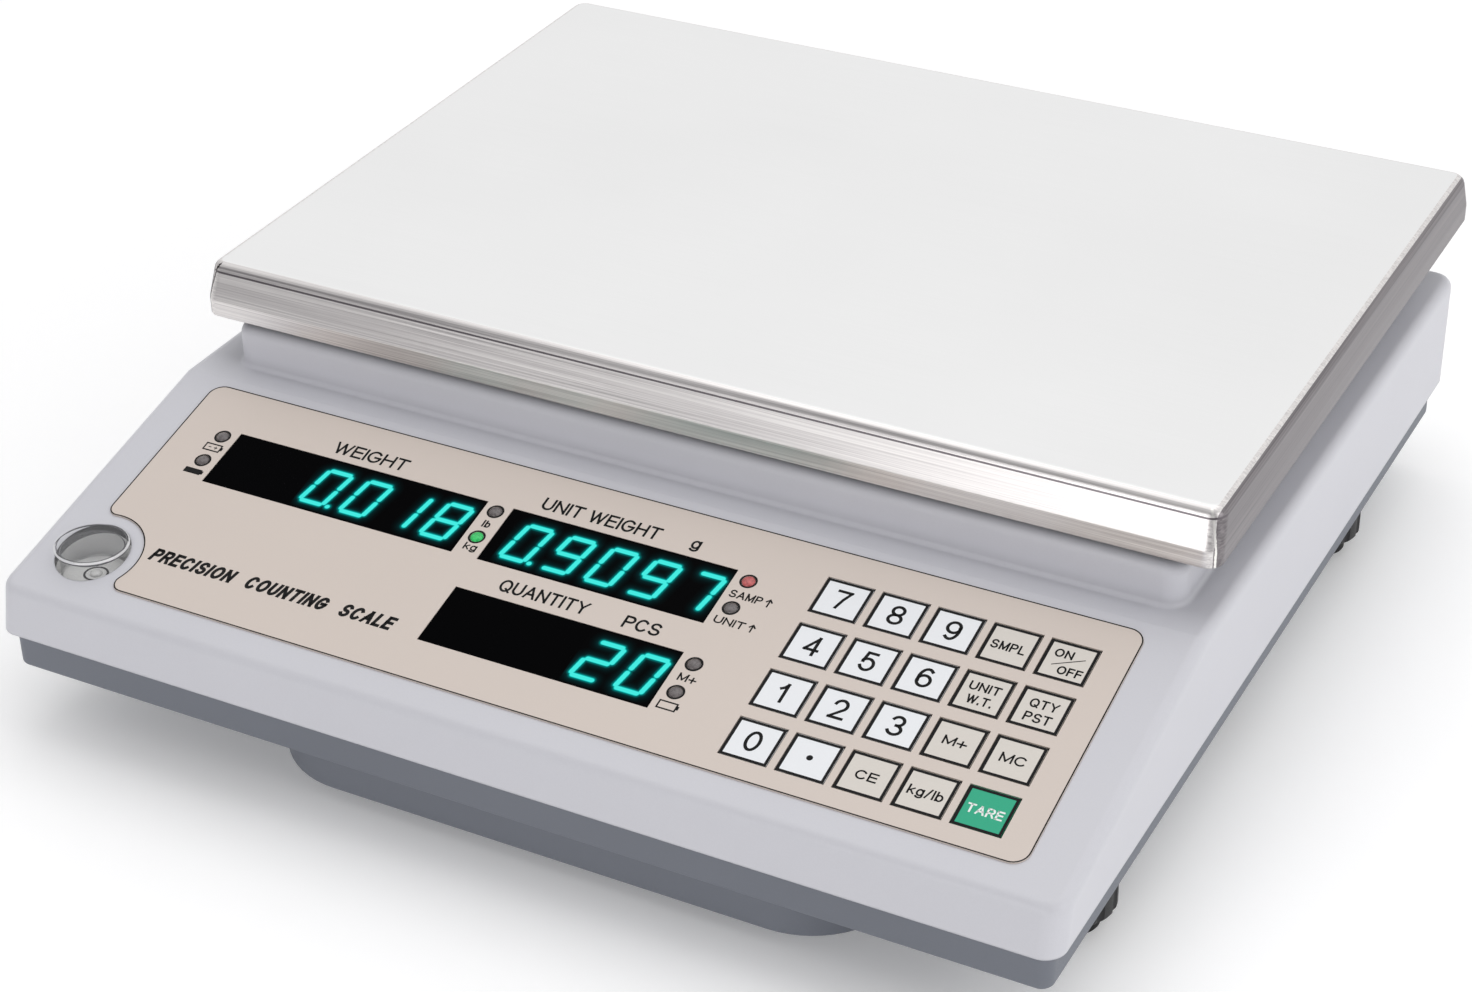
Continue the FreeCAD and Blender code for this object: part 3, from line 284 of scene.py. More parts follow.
rubber_look = moulded("black_rubber", rgb(24, 24, 24), 0.75, vary=0.2, pebble=1200.0)
cable_look = moulded("cable_sheath", rgb(120, 120, 122), 0.5, vary=0.08)
cup_look = moulded("cup_plastic", rgb(236, 236, 234), 0.4)
powder_look = moulded("black_powder_coat", rgb(34, 34, 36), 0.55, vary=0.2, pebble=900.0,
                      depth=3e-5)
core_look = moulded("laminated_core", rgb(70, 64, 60), 0.5, vary=0.3, pebble=700.0)
steel_look = platter_metal("platter_steel")
dome_look = brushed("dome_steel", rgb(205, 204, 200), 0.3)
cast_look = plain_metal("cast_aluminium", rgb(160, 162, 165), 0.5, depth=4e-5)
machined_look = brushed("machined_aluminium", rgb(200, 202, 205), 0.35, streak=3000.0)
zinc_look = plain_metal("zinc_plate", rgb(190, 192, 196), 0.3)
brass_look = plain_metal("brass", rgb(196, 166, 96), 0.35)


def clear_plastic(name):
    """Clear acrylic: a faint grey face, thin clear walls and a painted highlight along the polished edge."""
    made, tree, shader = look(name, Specular_IOR_Level=0.8)
    upward = facing(tree)[2]
    cloud = grain(tree, (120.0, 120.0, 120.0))
    face = math_node(tree, "GREATER_THAN", upward, 0.97)
    raised = math_node(tree, "GREATER_THAN", upward, 0.15)
    # painted highlight: the rounded edge between the face and the walls is coloured light and made nearly opaque
    edge = math_node(tree, "SUBTRACT", raised, face)
    tone = blend(tree, face, rgb(190, 190, 192), rgb(206, 207, 212))
    tone = blend(tree, edge, tone, rgb(236, 236, 238))
    tone = blend(tree, spread(tree, cloud, 0.0, 0.12), tone, rgb(255, 255, 255))
    cover = mix(tree, edge, mix(tree, face, 0.1, 0.08), 0.75)
    tree.links.new(cover, shader.inputs["Alpha"])
    finish_look(tree, shader, tone, spread(tree, cloud, 0.03, 0.08), cloud, 2e-6)
    return made


clear_look = clear_plastic("clear_acrylic")

LOOKS = {
    "top_cover": cover_look, "base_pan": base_look, "battery_door": base_look,
    "control_overlay": film_look, "weight_window": window_look,
    "unit_weight_window": window_look, "quantity_window": window_look,
    "keypad_board": board_look, "key_domes": dome_look, "display_board": board_look,
    "digit_modules": gloss_black_look, "indicator_leds": cup_look, "level_vial": clear_look,
    "level_cup": cup_look, "weighing_platter": steel_look, "platter_spider": cast_look,
    "spider_screws": zinc_look, "platter_cushions": rubber_look, "load_cell": machined_look,
    "load_cell_screws": zinc_look, "load_cell_cable": cable_look, "chassis": powder_look,
    "overload_stop": zinc_look, "main_board": board_look, "board_screws": zinc_look,
    "transformer": core_look, "battery": black_look, "power_inlet": black_look,
    "switch_body": black_look, "switch_rocker": gloss_black_look, "case_screws": zinc_look,
    "foot_inserts": brass_look,
}
BEIGE_KEYS = ("clear_entry", "unit_switch", "memory_add", "memory_clear", "sample",
              "unit_weight", "quantity_preset", "power")


def finish_of(name):
    """A node's look."""
    if name in LOOKS:
        return LOOKS[name]
    if name.startswith("foot_knob"):
        return black_look
    if name.startswith("foot_pad"):
        return rubber_look
    if name == "key_tare":
        return green_key_look
    return beige_key_look if name.removeprefix("key_") in BEIGE_KEYS else white_key_look


for name, piece in nodes.items():
    for slot in piece.material_slots:
        slot.material = finish_of(name)


# ---------------------------------------------------------------- the panel's own directions

press = next(j for j in frame["joints"] if j["name"] == "key_0_press")["axis"]
TILT = math.atan2(press[1], -press[2])
FILM = 0.5  # thickness of the overlay
film_low, film_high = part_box("control_overlay")
DROP = 0.6  # how far the film reaches below the panel's origin line
PANEL = (Matrix.Translation((0, film_low.y + FILM * MM * math.sin(TILT), film_low.z))
         @ Matrix.Rotation(TILT, 4, "X") @ Matrix.Scale(MM, 4)
         @ Matrix.Translation((0, DROP, 0)))


def link(name, data):
    """A new object in the scene."""
    made = bpy.data.objects.new(name, data)
    bpy.context.scene.collection.objects.link(made)
    return made


def new_piece(name, mesh, body, slot, *finishes):
    """Links a mesh as a piece that rides on a body."""
    for finish in finishes:
        mesh.materials.append(finish)
    made = link(name, mesh)
    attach(made, body)
    return made


def mesh_of(name, build, place=PANEL):
    """A mesh from a bmesh, moved to its place."""
    mesh = bpy.data.meshes.new(name)
    build.to_mesh(mesh)
    build.free()
    mesh.transform(place)
    return mesh


MITRE_LIMIT = 0.3


def stroke(build, points, width, height, closed=False, finish=0):
    """A flat line of one width through points, with mitred corners; returns its vertices."""
    points = [Vector(p) for p in points]
    count = len(points)
    sides = []
    for i, here in enumerate(points):
        before = points[i - 1] if closed or i else None
        after = points[(i + 1) % count] if closed or i < count - 1 else None
        first = (here - before).normalized() if before is not None else None
        second = (after - here).normalized() if after is not None else None
        first, second = first or second, second or first
        normal = Vector((-(first.y + second.y), first.x + second.x)).normalized()
        reach = width / 2 / max(MITRE_LIMIT, normal.dot(Vector((-first.y, first.x))))
        sides.append([build.verts.new((*(here + normal * reach * sign), height))
                      for sign in (1, -1)])
    for i in range(count if closed else count - 1):
        (left, right), (next_left, next_right) = sides[i], sides[(i + 1) % count]
        build.faces.new((right, next_right, next_left, left)).material_index = finish
    return [vert for pair in sides for vert in pair]


def patch(build, points, height, finish=0):
    """A flat filled polygon."""
    corners = [build.verts.new((*p, height)) for p in points]
    build.faces.new(corners).material_index = finish


def disc_points(across, up, radius, count=28):
    """Points round a circle."""
    return [(across + radius * math.cos(math.tau * i / count),
             up + radius * math.sin(math.tau * i / count)) for i in range(count)]


def arc(across, up, radius, start, end, steps):
    """Points along part of a circle, between two angles in radians."""
    turns = [start + (end - start) * i / steps for i in range(steps + 1)]
    return [(across + radius * math.cos(t), up + radius * math.sin(t)) for t in turns]


def bow(across, up, half_wide, half_tall, start, end):
    """Points along part of an ellipse, between two angles in degrees."""
    count = max(4, round(abs(end - start) / 15))
    turns = [math.radians(start + (end - start) * i / count) for i in range(count + 1)]
    return [(across + half_wide * math.cos(t), up + half_tall * math.sin(t)) for t in turns]


def turned(lines):
    """A letter's lines turned half round."""
    return [[(1 - across, 1 - up) for across, up in line] for line in lines]


ROUND = bow(0.5, 0.5, 0.5, 0.5, 0, 360)
UPPER_BOWL = [(0, 1), (0.6, 1)] + bow(0.6, 0.74, 0.4, 0.26, 90, -90) + [(0, 0.48)]
SIX = [bow(0.5, 0.31, 0.5, 0.31, 0, 360), bow(0.52, 0.5, 0.52, 0.5, 52, 205)]
LETTERS = {  # width, then lines through points from 0 to 1 across and up
    "A": (0.88, [[(0, 0), (0.5, 1), (1, 0)], [(0.17, 0.34), (0.83, 0.34)]]),
    "C": (0.88, [bow(0.5, 0.5, 0.5, 0.5, 42, 318)]),
    "D": (0.8, [[(0.4, 0), (0, 0), (0, 1), (0.4, 1)] + bow(0.4, 0.5, 0.6, 0.5, 90, -90)]),
    "E": (0.68, [[(1, 1), (0, 1), (0, 0), (1, 0)], [(0, 0.53), (0.92, 0.53)]]),
    "F": (0.64, [[(1, 1), (0, 1), (0, 0)], [(0, 0.51), (0.88, 0.51)]]),
    "G": (0.92, [bow(0.5, 0.5, 0.5, 0.5, 42, 340) + [(1, 0.46), (0.56, 0.46)]]),
    "H": (0.8, [[(0, 0), (0, 1)], [(1, 0), (1, 1)], [(0, 0.53), (1, 0.53)]]),
    "I": (0.0, [[(0, 0), (0, 1)]]),
    "L": (0.62, [[(0, 1), (0, 0), (1, 0)]]),
    "M": (0.95, [[(0, 0), (0, 1), (0.5, 0.08), (1, 1), (1, 0)]]),
    "N": (0.8, [[(0, 0), (0, 1), (1, 0), (1, 1)]]),
    "O": (0.95, [ROUND]),
    "P": (0.74, [[(0, 0)] + UPPER_BOWL]),
    "Q": (0.95, [ROUND, [(0.62, 0.26), (1.0, -0.04)]]),
    "R": (0.78, [[(0, 0)] + UPPER_BOWL, [(0.58, 0.48), (1, 0)]]),
    "S": (0.76, [bow(0.5, 0.745, 0.46, 0.255, 25, 265) + bow(0.5, 0.25, 0.5, 0.25, 85, -158)]),
    "T": (0.8, [[(0, 1), (1, 1)], [(0.5, 1), (0.5, 0)]]),
    "U": (0.8, [[(0, 1), (0, 0.36)] + bow(0.5, 0.36, 0.5, 0.36, 180, 360) + [(1, 1)]]),
    "W": (1.2, [[(0, 1), (0.26, 0), (0.5, 0.96), (0.74, 0), (1, 1)]]),
    "Y": (0.86, [[(0, 1), (0.5, 0.47), (1, 1)], [(0.5, 0.47), (0.5, 0)]]),
    "b": (0.62, [[(0, 0), (0, 1)], bow(0.5, 0.35, 0.5, 0.35, 0, 360)]),
    "g": (0.62, [bow(0.5, 0.37, 0.5, 0.35, 0, 360),
                 [(1, 0.72), (1, -0.06)] + bow(0.5, -0.06, 0.5, 0.2, 0, -155)]),
    "k": (0.58, [[(0, 0), (0, 1)], [(0.92, 0.7), (0, 0.28)], [(0.34, 0.44), (1, 0)]]),
    "l": (0.0, [[(0, 0), (0, 1)]]),
    "+": (0.72, [[(0, 0.38), (1, 0.38)], [(0.5, 0), (0.5, 0.76)]]),
    "/": (0.42, [[(0, -0.04), (1, 1.04)]]),
    ".": (0.0, [[(0, -0.03), (0, 0.06)]]),
    "0": (0.66, [ROUND]),
    "1": (0.42, [[(0, 0.72), (0.5, 0.8), (1, 1), (1, 0)]]),
    "2": (0.66, [bow(0.5, 0.71, 0.46, 0.29, 168, -38) + [(0, 0), (1, 0)]]),
    "3": (0.66, [bow(0.47, 0.755, 0.43, 0.245, 158, -90) + bow(0.47, 0.255, 0.5, 0.255, 90, -158)]),
    "4": (0.7, [[(0.76, 0), (0.76, 1), (0, 0.27), (1, 0.27)]]),
    "5": (0.66, [[(0.9, 1), (0.2, 1), (0.08, 0.48)] + bow(0.47, 0.33, 0.5, 0.33, 142, -155)]),
    "6": (0.66, SIX),
    "7": (0.66, [[(0, 1), (1, 1), (0.62, 0.52), (0.36, 0)]]),
    "8": (0.66, [bow(0.5, 0.755, 0.44, 0.245, 0, 360), bow(0.5, 0.255, 0.5, 0.255, 0, 360)]),
    "9": (0.66, turned(SIX)),
}
LETTER_GAP, SPACE = 0.45, 0.6  # between letters in mm, between words in capital heights
SHARP_TURN = 0.8  # cosine of the turn at which a letter's line is cut


def straight_runs(points):
    """A line cut into runs wherever it turns sharply."""
    runs = [[points[0]]]
    for before, here, after in zip(points, points[1:], points[2:]):
        runs[-1].append(here)
        if (here - before).normalized().dot((after - here).normalized()) < SHARP_TURN:
            runs.append([here])
    runs[-1].append(points[-1])
    return runs


def word(build, text, left, right, base, capital, height, line, slant=0.0, finish=0):
    """A word drawn with one line width between two ends, on a base line."""
    tall = capital - line
    gap = line + LETTER_GAP * min(1.0, capital / 4)
    letters = text.replace(" ", "")
    space = SPACE * capital - gap
    fixed = gap * (len(letters) - 1) + space * text.count(" ")
    wide_sum = sum(LETTERS[letter][0] for letter in letters)
    scale = (right - left - line - slant * tall - fixed) / max(0.01, wide_sum)
    pen, strokes = 0.0, []
    for letter in text:
        if letter == " ":
            pen += space
            continue
        wide, shapes = LETTERS[letter]
        strokes += [[(pen + across * wide * scale, up) for across, up in shape]
                    for shape in shapes]
        pen += wide * scale + gap
    for points in strokes:
        placed = [Vector((left + line / 2 + across + slant * up * tall,
                          base + line / 2 + up * tall)) for across, up in points]
        if (placed[0] - placed[-1]).length < 1e-5 and len(placed) > 3:
            stroke(build, placed[:-1], line, height, True, finish)
            continue
        low = min(point.y for point in placed) - line / 2
        high = max(point.y for point in placed) + line / 2
        for run in straight_runs(placed):
            run[0] = run[0] - (run[1] - run[0]).normalized() * line / 2
            run[-1] = run[-1] + (run[-1] - run[-2]).normalized() * line / 2
            for vert in stroke(build, run, line, height, False, finish):
                vert.co.y = min(max(vert.co.y, low), high)


# ---------------------------------------------------------------- printing on the overlay

PRINT = FILM + 0.02  # height of the ink
LAP = 0.002  # how far one line of ink lies over another
WINDOW_HALF = 11.1
LAMP_PLACES = ((-143.1, 59.5), (-43.6, 59.5), (41.55, 59.5), (41.55, 25.1))
LAMPS = [(across, up + offset) for across, up in LAMP_PLACES for offset in (8.05, -3.2)]
RING_RADIUS, RING_LINE = 2.42, 0.6
OVERLAY_TOP, OVERLAY_CORNER = 88.0, 5.0
NOTCH_RADIUS, NOTCH_ROUND = 15.8, 3.5
EDGE_INSET, EDGE_LINE = 0.22, 0.4
WORDS = (  # text, left, right, base line, capital height, line width, slant
    ("WEIGHT", -106.0, -79.6, 73.2, 5.0, 0.78, 0.0),
    ("UNIT WEIGHT", -31.6, 8.4, 73.3, 5.0, 0.78, 0.0),
    ("g", 18.8, 21.8, 73.8, 4.6, 0.75, 0.0),
    ("QUANTITY", -26.9, 2.6, 39.1, 4.9, 0.78, 0.0),
    ("PCS", 14.6, 26.6, 38.8, 4.8, 0.78, 0.0),
    ("PRECISION", -134.8, -104.4, 13.7, 5.2, 1.15, 0.2),
    ("COUNTING", -100.4, -71.2, 13.8, 5.2, 1.15, 0.2),
    ("SCALE", -67.0, -48.2, 13.9, 5.2, 1.15, 0.2),
    ("lb", -44.8, -42.2, 60.6, 2.9, 0.55, 0.0),
    ("kg", -45.5, -41.1, 50.6, 2.9, 0.52, 0.0),
    ("SAMP", 38.5, 48.9, 60.2, 3.0, 0.52, 0.0),
    ("UNIT", 38.8, 48.6, 49.6, 2.9, 0.52, 0.0),
    ("M+", 39.4, 45.2, 26.2, 2.9, 0.52, 0.0),
)


def level_centre():
    """The level's middle, measured on the panel."""
    low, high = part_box("level_vial")
    run = (low.y + high.y) / 2 - PANEL.translation.y
    return (low.x + high.x) / 2 / MM, run / math.cos(TILT) / MM


def overlay_outline(inset):
    """The overlay's edge, drawn in by an inset: rounded corners and the notch for the level."""
    left, right = film_low.x / MM + inset, film_high.x / MM - inset
    low, top = inset - DROP, OVERLAY_TOP - inset
    radius = OVERLAY_CORNER - inset
    points = []
    for across, up, start in ((right - radius, low + radius, -90),
                              (right - radius, top - radius, 0),
                              (left + radius, top - radius, 90)):
        points += arc(across, up, radius, math.radians(start), math.radians(start + 90), 8)
    # a small arc leads from each straight edge into the notch's large arc
    centre_across, centre_up = level_centre()
    notch, round_off = NOTCH_RADIUS + inset, NOTCH_ROUND - inset
    reach = notch + round_off
    side_across = left + round_off
    side_up = centre_up + math.sqrt(reach ** 2 - (side_across - centre_across) ** 2)
    front_up = low + round_off
    front_across = centre_across + math.sqrt(reach ** 2 - (front_up - centre_up) ** 2)
    to_side = math.atan2(side_up - centre_up, side_across - centre_across)
    to_front = math.atan2(front_up - centre_up, front_across - centre_across)
    points += arc(side_across, side_up, round_off, math.pi, math.pi + to_side, 6)
    points += arc(centre_across, centre_up, notch, to_side, to_front, 24)[1:-1]
    points += arc(front_across, front_up, round_off, math.pi + to_front, 1.5 * math.pi, 6)
    return points


def battery_icon(build, left, low, wide, tall, line):
    """A battery's outline with its terminal on the right."""
    right, high, middle = left + wide, low + tall, low + tall / 2
    body = [(left, low), (right, low), (right, high), (left, high)]
    stroke(build, body, line, PRINT, closed=True)
    patch(build, [(right, middle - 0.7), (right + 0.8, middle - 0.7),
                  (right + 0.8, middle + 0.7), (right, middle + 0.7)], PRINT)


def up_arrow(build, across, low, tall):
    """An arrow that points up the panel."""
    high = low + tall
    stroke(build, [(across, low), (across, high)], 0.5, PRINT)
    stroke(build, [(across - 1.0, high - 1.1), (across, high), (across + 1.0, high - 1.1)],
           0.5, PRINT + LAP)


def low_battery_mark(build, left, low):
    """A battery with a minus and a plus inside."""
    battery_icon(build, left, low, 5.6, 2.8, 0.5)
    for ends, height in (([(1.3, 1.4), (2.3, 1.4)], PRINT), ([(3.3, 1.4), (4.5, 1.4)], PRINT),
                         ([(3.9, 0.8), (3.9, 2.0)], PRINT + LAP)):
        stroke(build, [(left + across, low + up) for across, up in ends], 0.3, height)


def flat_battery_mark(build, left, low, wide, tall):
    """A battery that is filled in."""
    battery_icon(build, left, low, wide, tall, 0.3)
    patch(build, [(left, low), (left + wide, low), (left + wide, low + tall), (left, low + tall)],
          PRINT)


printing = bmesh.new()
for text, left, right, base, capital, line, slant in WORDS:
    word(printing, text, left, right, base, capital, PRINT, line, slant)
for across, up in LAMPS:
    stroke(printing, disc_points(across, up, RING_RADIUS), RING_LINE, PRINT, closed=True)
stroke(printing, overlay_outline(EDGE_INSET), EDGE_LINE, PRINT, closed=True)
low_battery_mark(printing, -146.2, 60.9)
flat_battery_mark(printing, -146.4, 50.3, 5.8, 1.9)
battery_icon(printing, 38.8, 15.2, 5.6, 2.7, 0.5)
up_arrow(printing, 51.0, 60.0, 3.0)
up_arrow(printing, 50.8, 49.5, 2.9)
casing = next(name for name, held in frame["record"]["behaviour"]["bodies"].items()
              if "top_cover" in held)
new_piece("panel_printing", mesh_of("panel_printing", printing), casing, "window_black",
          ink_look)


# ---------------------------------------------------------------- key faces

KEY_WORDS = {  # lines of text: text, left, right, base line, capital height, measured from the key
    "clear_entry": (("CE", -3.4, 3.2, -1.9, 3.3),),
    "unit_switch": (("kg/lb", -5.2, 5.2, -1.7, 3.4),),
    "tare": (("TARE", -5.3, 5.3, -1.9, 3.2),),
    "memory_add": (("M+", -3.5, 3.6, -1.2, 3.2),),
    "memory_clear": (("MC", -3.9, 3.8, -1.6, 3.4),),
    "sample": (("SMPL", -5.4, 4.9, -1.9, 3.3),),
    "unit_weight": (("UNIT", -4.7, 4.6, 0.6, 3.2), ("W.T.", -3.6, 4.0, -4.2, 3.2)),
    "quantity_preset": (("QTY", -4.0, 4.4, 0.4, 3.3), ("PST", -3.8, 4.2, -4.7, 3.4)),
    "power": (("ON", -4.7, 0.8, 1.1, 3.1), ("OFF", -1.7, 5.6, -4.8, 3.1)),
}
KEY_HALF_ACROSS, KEY_HALF_UP = 7.25, 7.0
OUTLINE = 0.9  # width of the line round a key
DIGIT_LOW, DIGIT_TALL, DIGIT_LINE, LEGEND_LINE = -3.6, 7.4, 0.98, 0.56


def key_middle(node):
    """The middle of a key on the panel: its highest point is on its face's far edge."""
    low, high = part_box(node)
    rise = (high.z - PANEL.translation.z) / MM - FILM * math.cos(TILT)
    return (low.x + high.x) / 2 / MM, rise / math.sin(TILT) - KEY_HALF_UP


def key_outline(build, across, up):
    """The line round a key, inside its edge."""
    wide, tall = KEY_HALF_ACROSS - OUTLINE / 2, KEY_HALF_UP - OUTLINE / 2
    corners = [(across - wide, up - tall), (across + wide, up - tall),
               (across + wide, up + tall), (across - wide, up + tall)]
    stroke(build, corners, OUTLINE, PRINT, closed=True)


def key_legend(build, label, across, up):
    """The words, the point or the digit on a key."""
    if label in KEY_WORDS:
        for text, left, right, base, capital in KEY_WORDS[label]:
            word(build, text, across + left, across + right, up + base, capital, PRINT,
                 LEGEND_LINE, finish=1)
    elif label == "point":
        patch(build, disc_points(across - 0.1, up + 0.2, 0.95, 20), PRINT, 1)
    else:
        left, right = (-1.7, 0.8) if label == "1" else (-2.4, 2.4)
        word(build, label, across + left, across + right, up + DIGIT_LOW, DIGIT_TALL, PRINT,
             DIGIT_LINE, finish=1)
    if label == "power":
        stroke(build, [(across - 4.0, up - 2.1), (across + 4.5, up + 2.3)], 0.3, PRINT + LAP,
               finish=1)


for node in sorted(n for n in nodes if n.startswith("key_") and n != "key_domes"):
    label = node.removeprefix("key_")
    face = bmesh.new()
    key_outline(face, *key_middle(node))
    key_legend(face, label, *key_middle(node))
    text_look = white_ink_look if label == "tare" else ink_look
    new_piece("face_" + label, mesh_of("face_" + label, face), node, "window_black",
              ink_look, text_look)


# ---------------------------------------------------------------- lit figures

FIGURE_TALL, FIGURE_WIDE, FIGURE_LEAN, FIGURE_PITCH = 14.0, 8.2, 2.5, 14.4
FIGURE_IN, FIGURE_DROP = 0.7, 0.5  # from the reading's left edge, and below the window's middle
SEGMENT_GAP = 0.95  # how far a segment stops short of its figure's corners
GRID_STEP, GRID_EDGE = 0.24, 0.6  # of the glowing sheet, and its margin in the window
SEGMENTS = {  # ends as shares of width and height
    "a": ((0, 1), (1, 1)), "b": ((1, 1), (1, 0.5)), "c": ((1, 0.5), (1, 0)),
    "d": ((1, 0), (0, 0)), "e": ((0, 0), (0, 0.5)), "f": ((0, 0.5), (0, 1)),
    "g": ((0, 0.5), (1, 0.5)),
}
FIGURES = {"0": "abcdef", "1": "bc", "2": "abged", "7": "abc", "8": "abcdefg", "9": "abcdfg"}
READINGS = (  # figures, left edge of the first, window's middle height, point after the first
    ("0018", -105.0, 59.5, True), ("09097", -34.0, 59.5, True), ("20", 8.9, 25.1, False),
)


def lit_lines(figures, left, up, point):
    """Centre lines of the lit segments."""
    lines = []
    for index, figure in enumerate(figures):
        start = left + FIGURE_IN + index * FIGURE_PITCH
        for name in FIGURES[figure]:
            ends = [Vector((start + across * FIGURE_WIDE + rise * FIGURE_LEAN,
                            up - FIGURE_DROP + (rise - 0.5) * FIGURE_TALL))
                    for across, rise in SEGMENTS[name]]
            pull = (ends[1] - ends[0]).normalized() * SEGMENT_GAP
            lines.append((ends[0] + pull, ends[1] - pull))
    if point:
        spot = Vector((left + FIGURE_WIDE + 2.6, up - FIGURE_DROP - FIGURE_TALL / 2))
        lines.append((spot, spot + Vector((0.05, 0))))
    return lines


def away(here, line):
    """The distance from a point to a line with two ends."""
    first, second = line
    along = second - first
    share = max(0.0, min(1.0, (here - first).dot(along) / along.length_squared))
    return (here - first - along * share).length


def light_at(close):
    """The light at a distance from the nearest segment: an even core with a soft halo."""
    core = min(1.0, max(0.0, (1.0 - close) / 0.3))
    halo = 0.42 * math.exp(-max(0.0, close - 0.7) / 0.75)
    return max(core, halo) if halo > 0.004 else 0.0


def glowing_sheet(name, figures, left, up, point):
    """A fine grid over a reading, with the light at each point kept as an attribute."""
    lines = lit_lines(figures, left, up, point)
    low = up - WINDOW_HALF + GRID_EDGE
    columns = int(len(figures) * FIGURE_PITCH / GRID_STEP)
    rows = int(2 * (WINDOW_HALF - GRID_EDGE) / GRID_STEP)
    build = bmesh.new()
    light = build.verts.layers.float.new("light")
    grid = []
    for j in range(rows + 1):
        row = []
        for i in range(columns + 1):
            here = Vector((left - 2 * GRID_EDGE + i * GRID_STEP, low + j * GRID_STEP))
            vert = build.verts.new((here.x, here.y, FILM - 0.07))
            vert[light] = light_at(min(away(here, line) for line in lines))
            row.append(vert)
        grid.append(row)
    for row, above in zip(grid, grid[1:]):
        for i in range(columns):
            build.faces.new((row[i], row[i + 1], above[i + 1], above[i]))
    return mesh_of(name, build)


def glow_material(name):
    """Blue-green light where the sheet's attribute says, on black."""
    made, tree, shader = look(name, Specular_IOR_Level=0.01, Emission_Strength=1.0)
    light = add(tree, "Attribute", attribute_name="light").outputs["Fac"]
    ramp = add(tree, "ValToRGB", {"Fac": light})
    stops = ramp.color_ramp.elements
    stops[0].color = (0.0, 0.0, 0.0, 1.0)
    stops[1].color = rgb(70, 236, 226)
    for place, colour in ((0.12, rgb(0, 40, 42)), (0.45, rgb(0, 150, 145)),
                          (0.75, rgb(20, 214, 205))):
        stops.new(place).color = colour
    tree.links.new(ramp.outputs[0], shader.inputs["Emission Color"])
    fine = grain(tree, (500.0, 500.0, 500.0), 2.0)
    finish_look(tree, shader, blend(tree, fine, rgb(2, 2, 3), rgb(3, 3, 4)),
                spread(tree, fine, 0.16, 0.28), fine, 1e-6)
    return made


glow_look = glow_material("figure_glow")
for name, reading in zip(("weight", "unit_weight", "quantity"), READINGS):
    sheet = glowing_sheet(name + "_figures", *reading)
    new_piece(name + "_figures", sheet, casing, "digit_black", glow_look)


# ---------------------------------------------------------------- indicator lamps

LENS_RADIUS, LENS_RISE, LENS_FOOT = 1.98, 0.7, FILM - 0.15
LENS_RINGS, LENS_SIDES = 6, 24
LIT_LAMPS = {3: 1, 4: 2}  # lamp's place in LAMPS, then its look: 1 is green, 2 is red


def lamp_look(name, colour, lit):
    """A coloured lens with an uneven, faintly lit inside."""
    made, tree, shader = look(name, Emission_Strength=lit)
    fine = grain(tree, (1100.0, 1100.0, 1100.0))
    tone = blend(tree, spread(tree, fine, 0.0, 1.0), shade(colour, 0.72), shade(colour, 1.25))
    tree.links.new(tone, shader.inputs["Emission Color"])
    finish_look(tree, shader, tone, spread(tree, fine, 0.2, 0.4), fine, 3e-5)
    return made


def lens(build, across, up, finish):
    """A round lens, domed like a quarter of an ellipse."""
    rings = []
    for step in range(LENS_RINGS):
        turn = math.radians(90 * step / LENS_RINGS)
        height = LENS_FOOT + LENS_RISE * math.sin(turn)
        ring = disc_points(across, up, LENS_RADIUS * math.cos(turn), LENS_SIDES)
        rings.append([build.verts.new((*spot, height)) for spot in ring])
    tip = build.verts.new((across, up, LENS_FOOT + LENS_RISE))
    faces = []
    for outer, inner in zip(rings, rings[1:]):
        for i in range(LENS_SIDES):
            after = (i + 1) % LENS_SIDES
            faces.append(build.faces.new((outer[i], outer[after], inner[after], inner[i])))
    for i in range(LENS_SIDES):
        faces.append(build.faces.new((rings[-1][i], rings[-1][(i + 1) % LENS_SIDES], tip)))
    for face in faces:
        face.material_index = finish
        face.smooth = True


dark_lamp = lamp_look("dark_lamp", rgb(104, 98, 98), 0.0)
green_lamp = lamp_look("green_lamp", rgb(36, 165, 84), 0.45)
red_lamp = lamp_look("red_lamp", rgb(172, 84, 84), 0.2)
lenses = bmesh.new()
for index, place in enumerate(LAMPS):
    lens(lenses, *place, LIT_LAMPS.get(index, 0))
new_piece("lamp_lenses", mesh_of("lamp_lenses", lenses), casing, "led_clear",
          dark_lamp, green_lamp, red_lamp)


# ---------------------------------------------------------------- inside the level

vial_low, vial_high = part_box("level_vial")
LEVEL = Matrix.Translation(((vial_low.x + vial_high.x) / 2, (vial_low.y + vial_high.y) / 2,
                            vial_low.z)) @ Matrix.Scale(MM, 4)


def lathe(name, profile, sides=40):
    """A turned shape from pairs of radius and height."""
    build = bmesh.new()
    rings = [[build.verts.new((*spot, height)) for spot in disc_points(0, 0, radius, sides)]
             for radius, height in profile]
    for first, second in zip(rings, rings[1:]):
        for i in range(sides):
            after = (i + 1) % sides
            build.faces.new((first[i], first[after], second[after], second[i])).smooth = True
    return mesh_of(name, build, LEVEL)


mark_look = moulded("level_mark_ink", rgb(34, 33, 34), 0.5)
disc_look = moulded("level_disc_white", rgb(240, 240, 238), 0.4)
